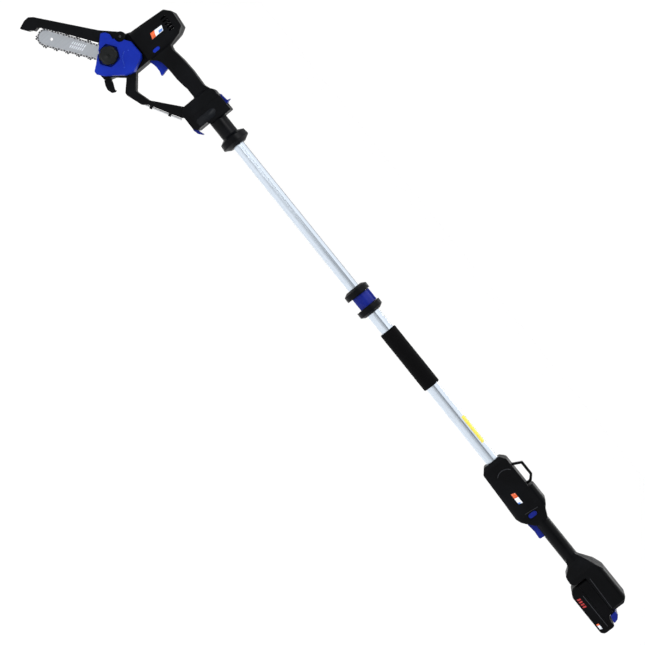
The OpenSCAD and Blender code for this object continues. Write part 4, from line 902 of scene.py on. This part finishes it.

# %% [markdown]
# The cooling slots at the top of the motor housing would let light straight through from one
# side to the other. A dark woven screen, held between the two halves, stands in the way: painted
# shade, standing in for the dark inside of the housing.

# %% Dark screen behind the cooling slots, as painted shade
# A dark grid in the housing's black, standing in for the shade behind the slots
def slot_shade_screen():
    left, right = HEAD_X - 222, HEAD_X - 177
    bottom, top = 43, 66
    upright_wires, level_wires, spacing, wire, soften = 23, 12, 2, 1.2, 0.2
    mesh = bmesh.new()
    for i in range(upright_wires):
        x = left + spacing * i
        upright = [(x, bottom), (x + wire, bottom), (x + wire, top), (x, top)]
        add_plate(mesh, upright, -wire / 2, 0.0, soften)
    for i in range(level_wires):
        z = bottom + spacing * i
        level = [(left, z), (right, z), (right, z + wire), (left, z + wire)]
        add_plate(mesh, level, 0.0, wire / 2, soften)
    carrier = "saw_switch"
    return piece_from(mesh, "slot_shade_screen", body_of(carrier), housing_black)


shade_screen = slot_shade_screen()
print("slot shade screen", len(shade_screen.data.polygons), "faces")

# %% [markdown]
# ## Badges and print
# A badge is a printed film on a flat of the moulding. The badges are left blank: a pale field
# with an orange patch and a blue one. The battery's print is four slanted stripes, and the
# bar's is two rows of slanted strokes. They stand about as high as a thick label, and each
# colour is its own piece, so that no image is needed.

# %% Badges and print
saw_badge_near = box_of("saw_badge")[0][1]
rear_badge_near = box_of("rear_badge")[0][1]
bar_near = box_of("guide_bar")[0][1]
SAW_ORANGE = [(-212, 6), (-198, 1), (-198, 12), (-211.4, 18)]
SAW_BLUE = [(-205, 25), (-199, 22), (-199, 33), (-204, 35)]
REAR_ORANGE = [(86, -13), (99, -13), (101, -3), (89, -3)]
REAR_BLUE = [(111, -13), (115, -13), (117, -8), (113, -7)]
PACK_WHITE = [(445, -47), (460, -47), (462, -41), (447, -41)]
PACK_ORANGE = [(445, -47), (449.5, -47), (451.5, -41), (447, -41)]


def slanted_stripe(x):
    return [(x, -46), (x + 4.2, -46), (x + 6.6, -38), (x + 2.4, -38)]


def bar_stroke(along, up):
    """A stroke on the bar, in millimetres towards its nose and up from the stud."""
    corners = [(along, up), (along + 1.8, up), (along + 4.3, up - 7), (along + 2.5, up - 7)]
    placed = [stud / MM + TO_NOSE * a + TO_TOP * b for a, b in corners]
    return [(p.x, p.z) for p in placed]


STRIPES = [slanted_stripe(x) for x in (372, 379, 386, 393)]
STROKES = [bar_stroke(u, 9.0) for u in range(62, 94, 5)]
STROKES += [bar_stroke(u + 3, 0.0) for u in range(62, 94, 5)]
PRINT = [
    ("saw_badge_orange", [SAW_ORANGE], HEAD_X, saw_badge_near, 0.1, "saw_badge", badge_orange),
    ("saw_badge_blue", [SAW_BLUE], HEAD_X, saw_badge_near, 0.1, "saw_badge", badge_blue),
    ("rear_badge_orange", [REAR_ORANGE], REAR_X, rear_badge_near, 0.1, "rear_badge", badge_orange),
    ("rear_badge_blue", [REAR_BLUE], REAR_X, rear_badge_near, 0.1, "rear_badge", badge_blue),
    ("pack_stripes", STRIPES, REAR_X, pack_near, 0.15, "battery_base", badge_red),
    ("pack_badge", [PACK_WHITE], REAR_X, pack_near, 0.15, "battery_base", badge_white),
    ("pack_badge_orange", [PACK_ORANGE], REAR_X, pack_near, 0.25, "battery_base", badge_orange),
    ("bar_strokes", STROKES, 0, bar_near, 0.05, "guide_bar", badge_white),
]
for row in PRINT:
    marks(*row)
print("printed pieces", len(PRINT))
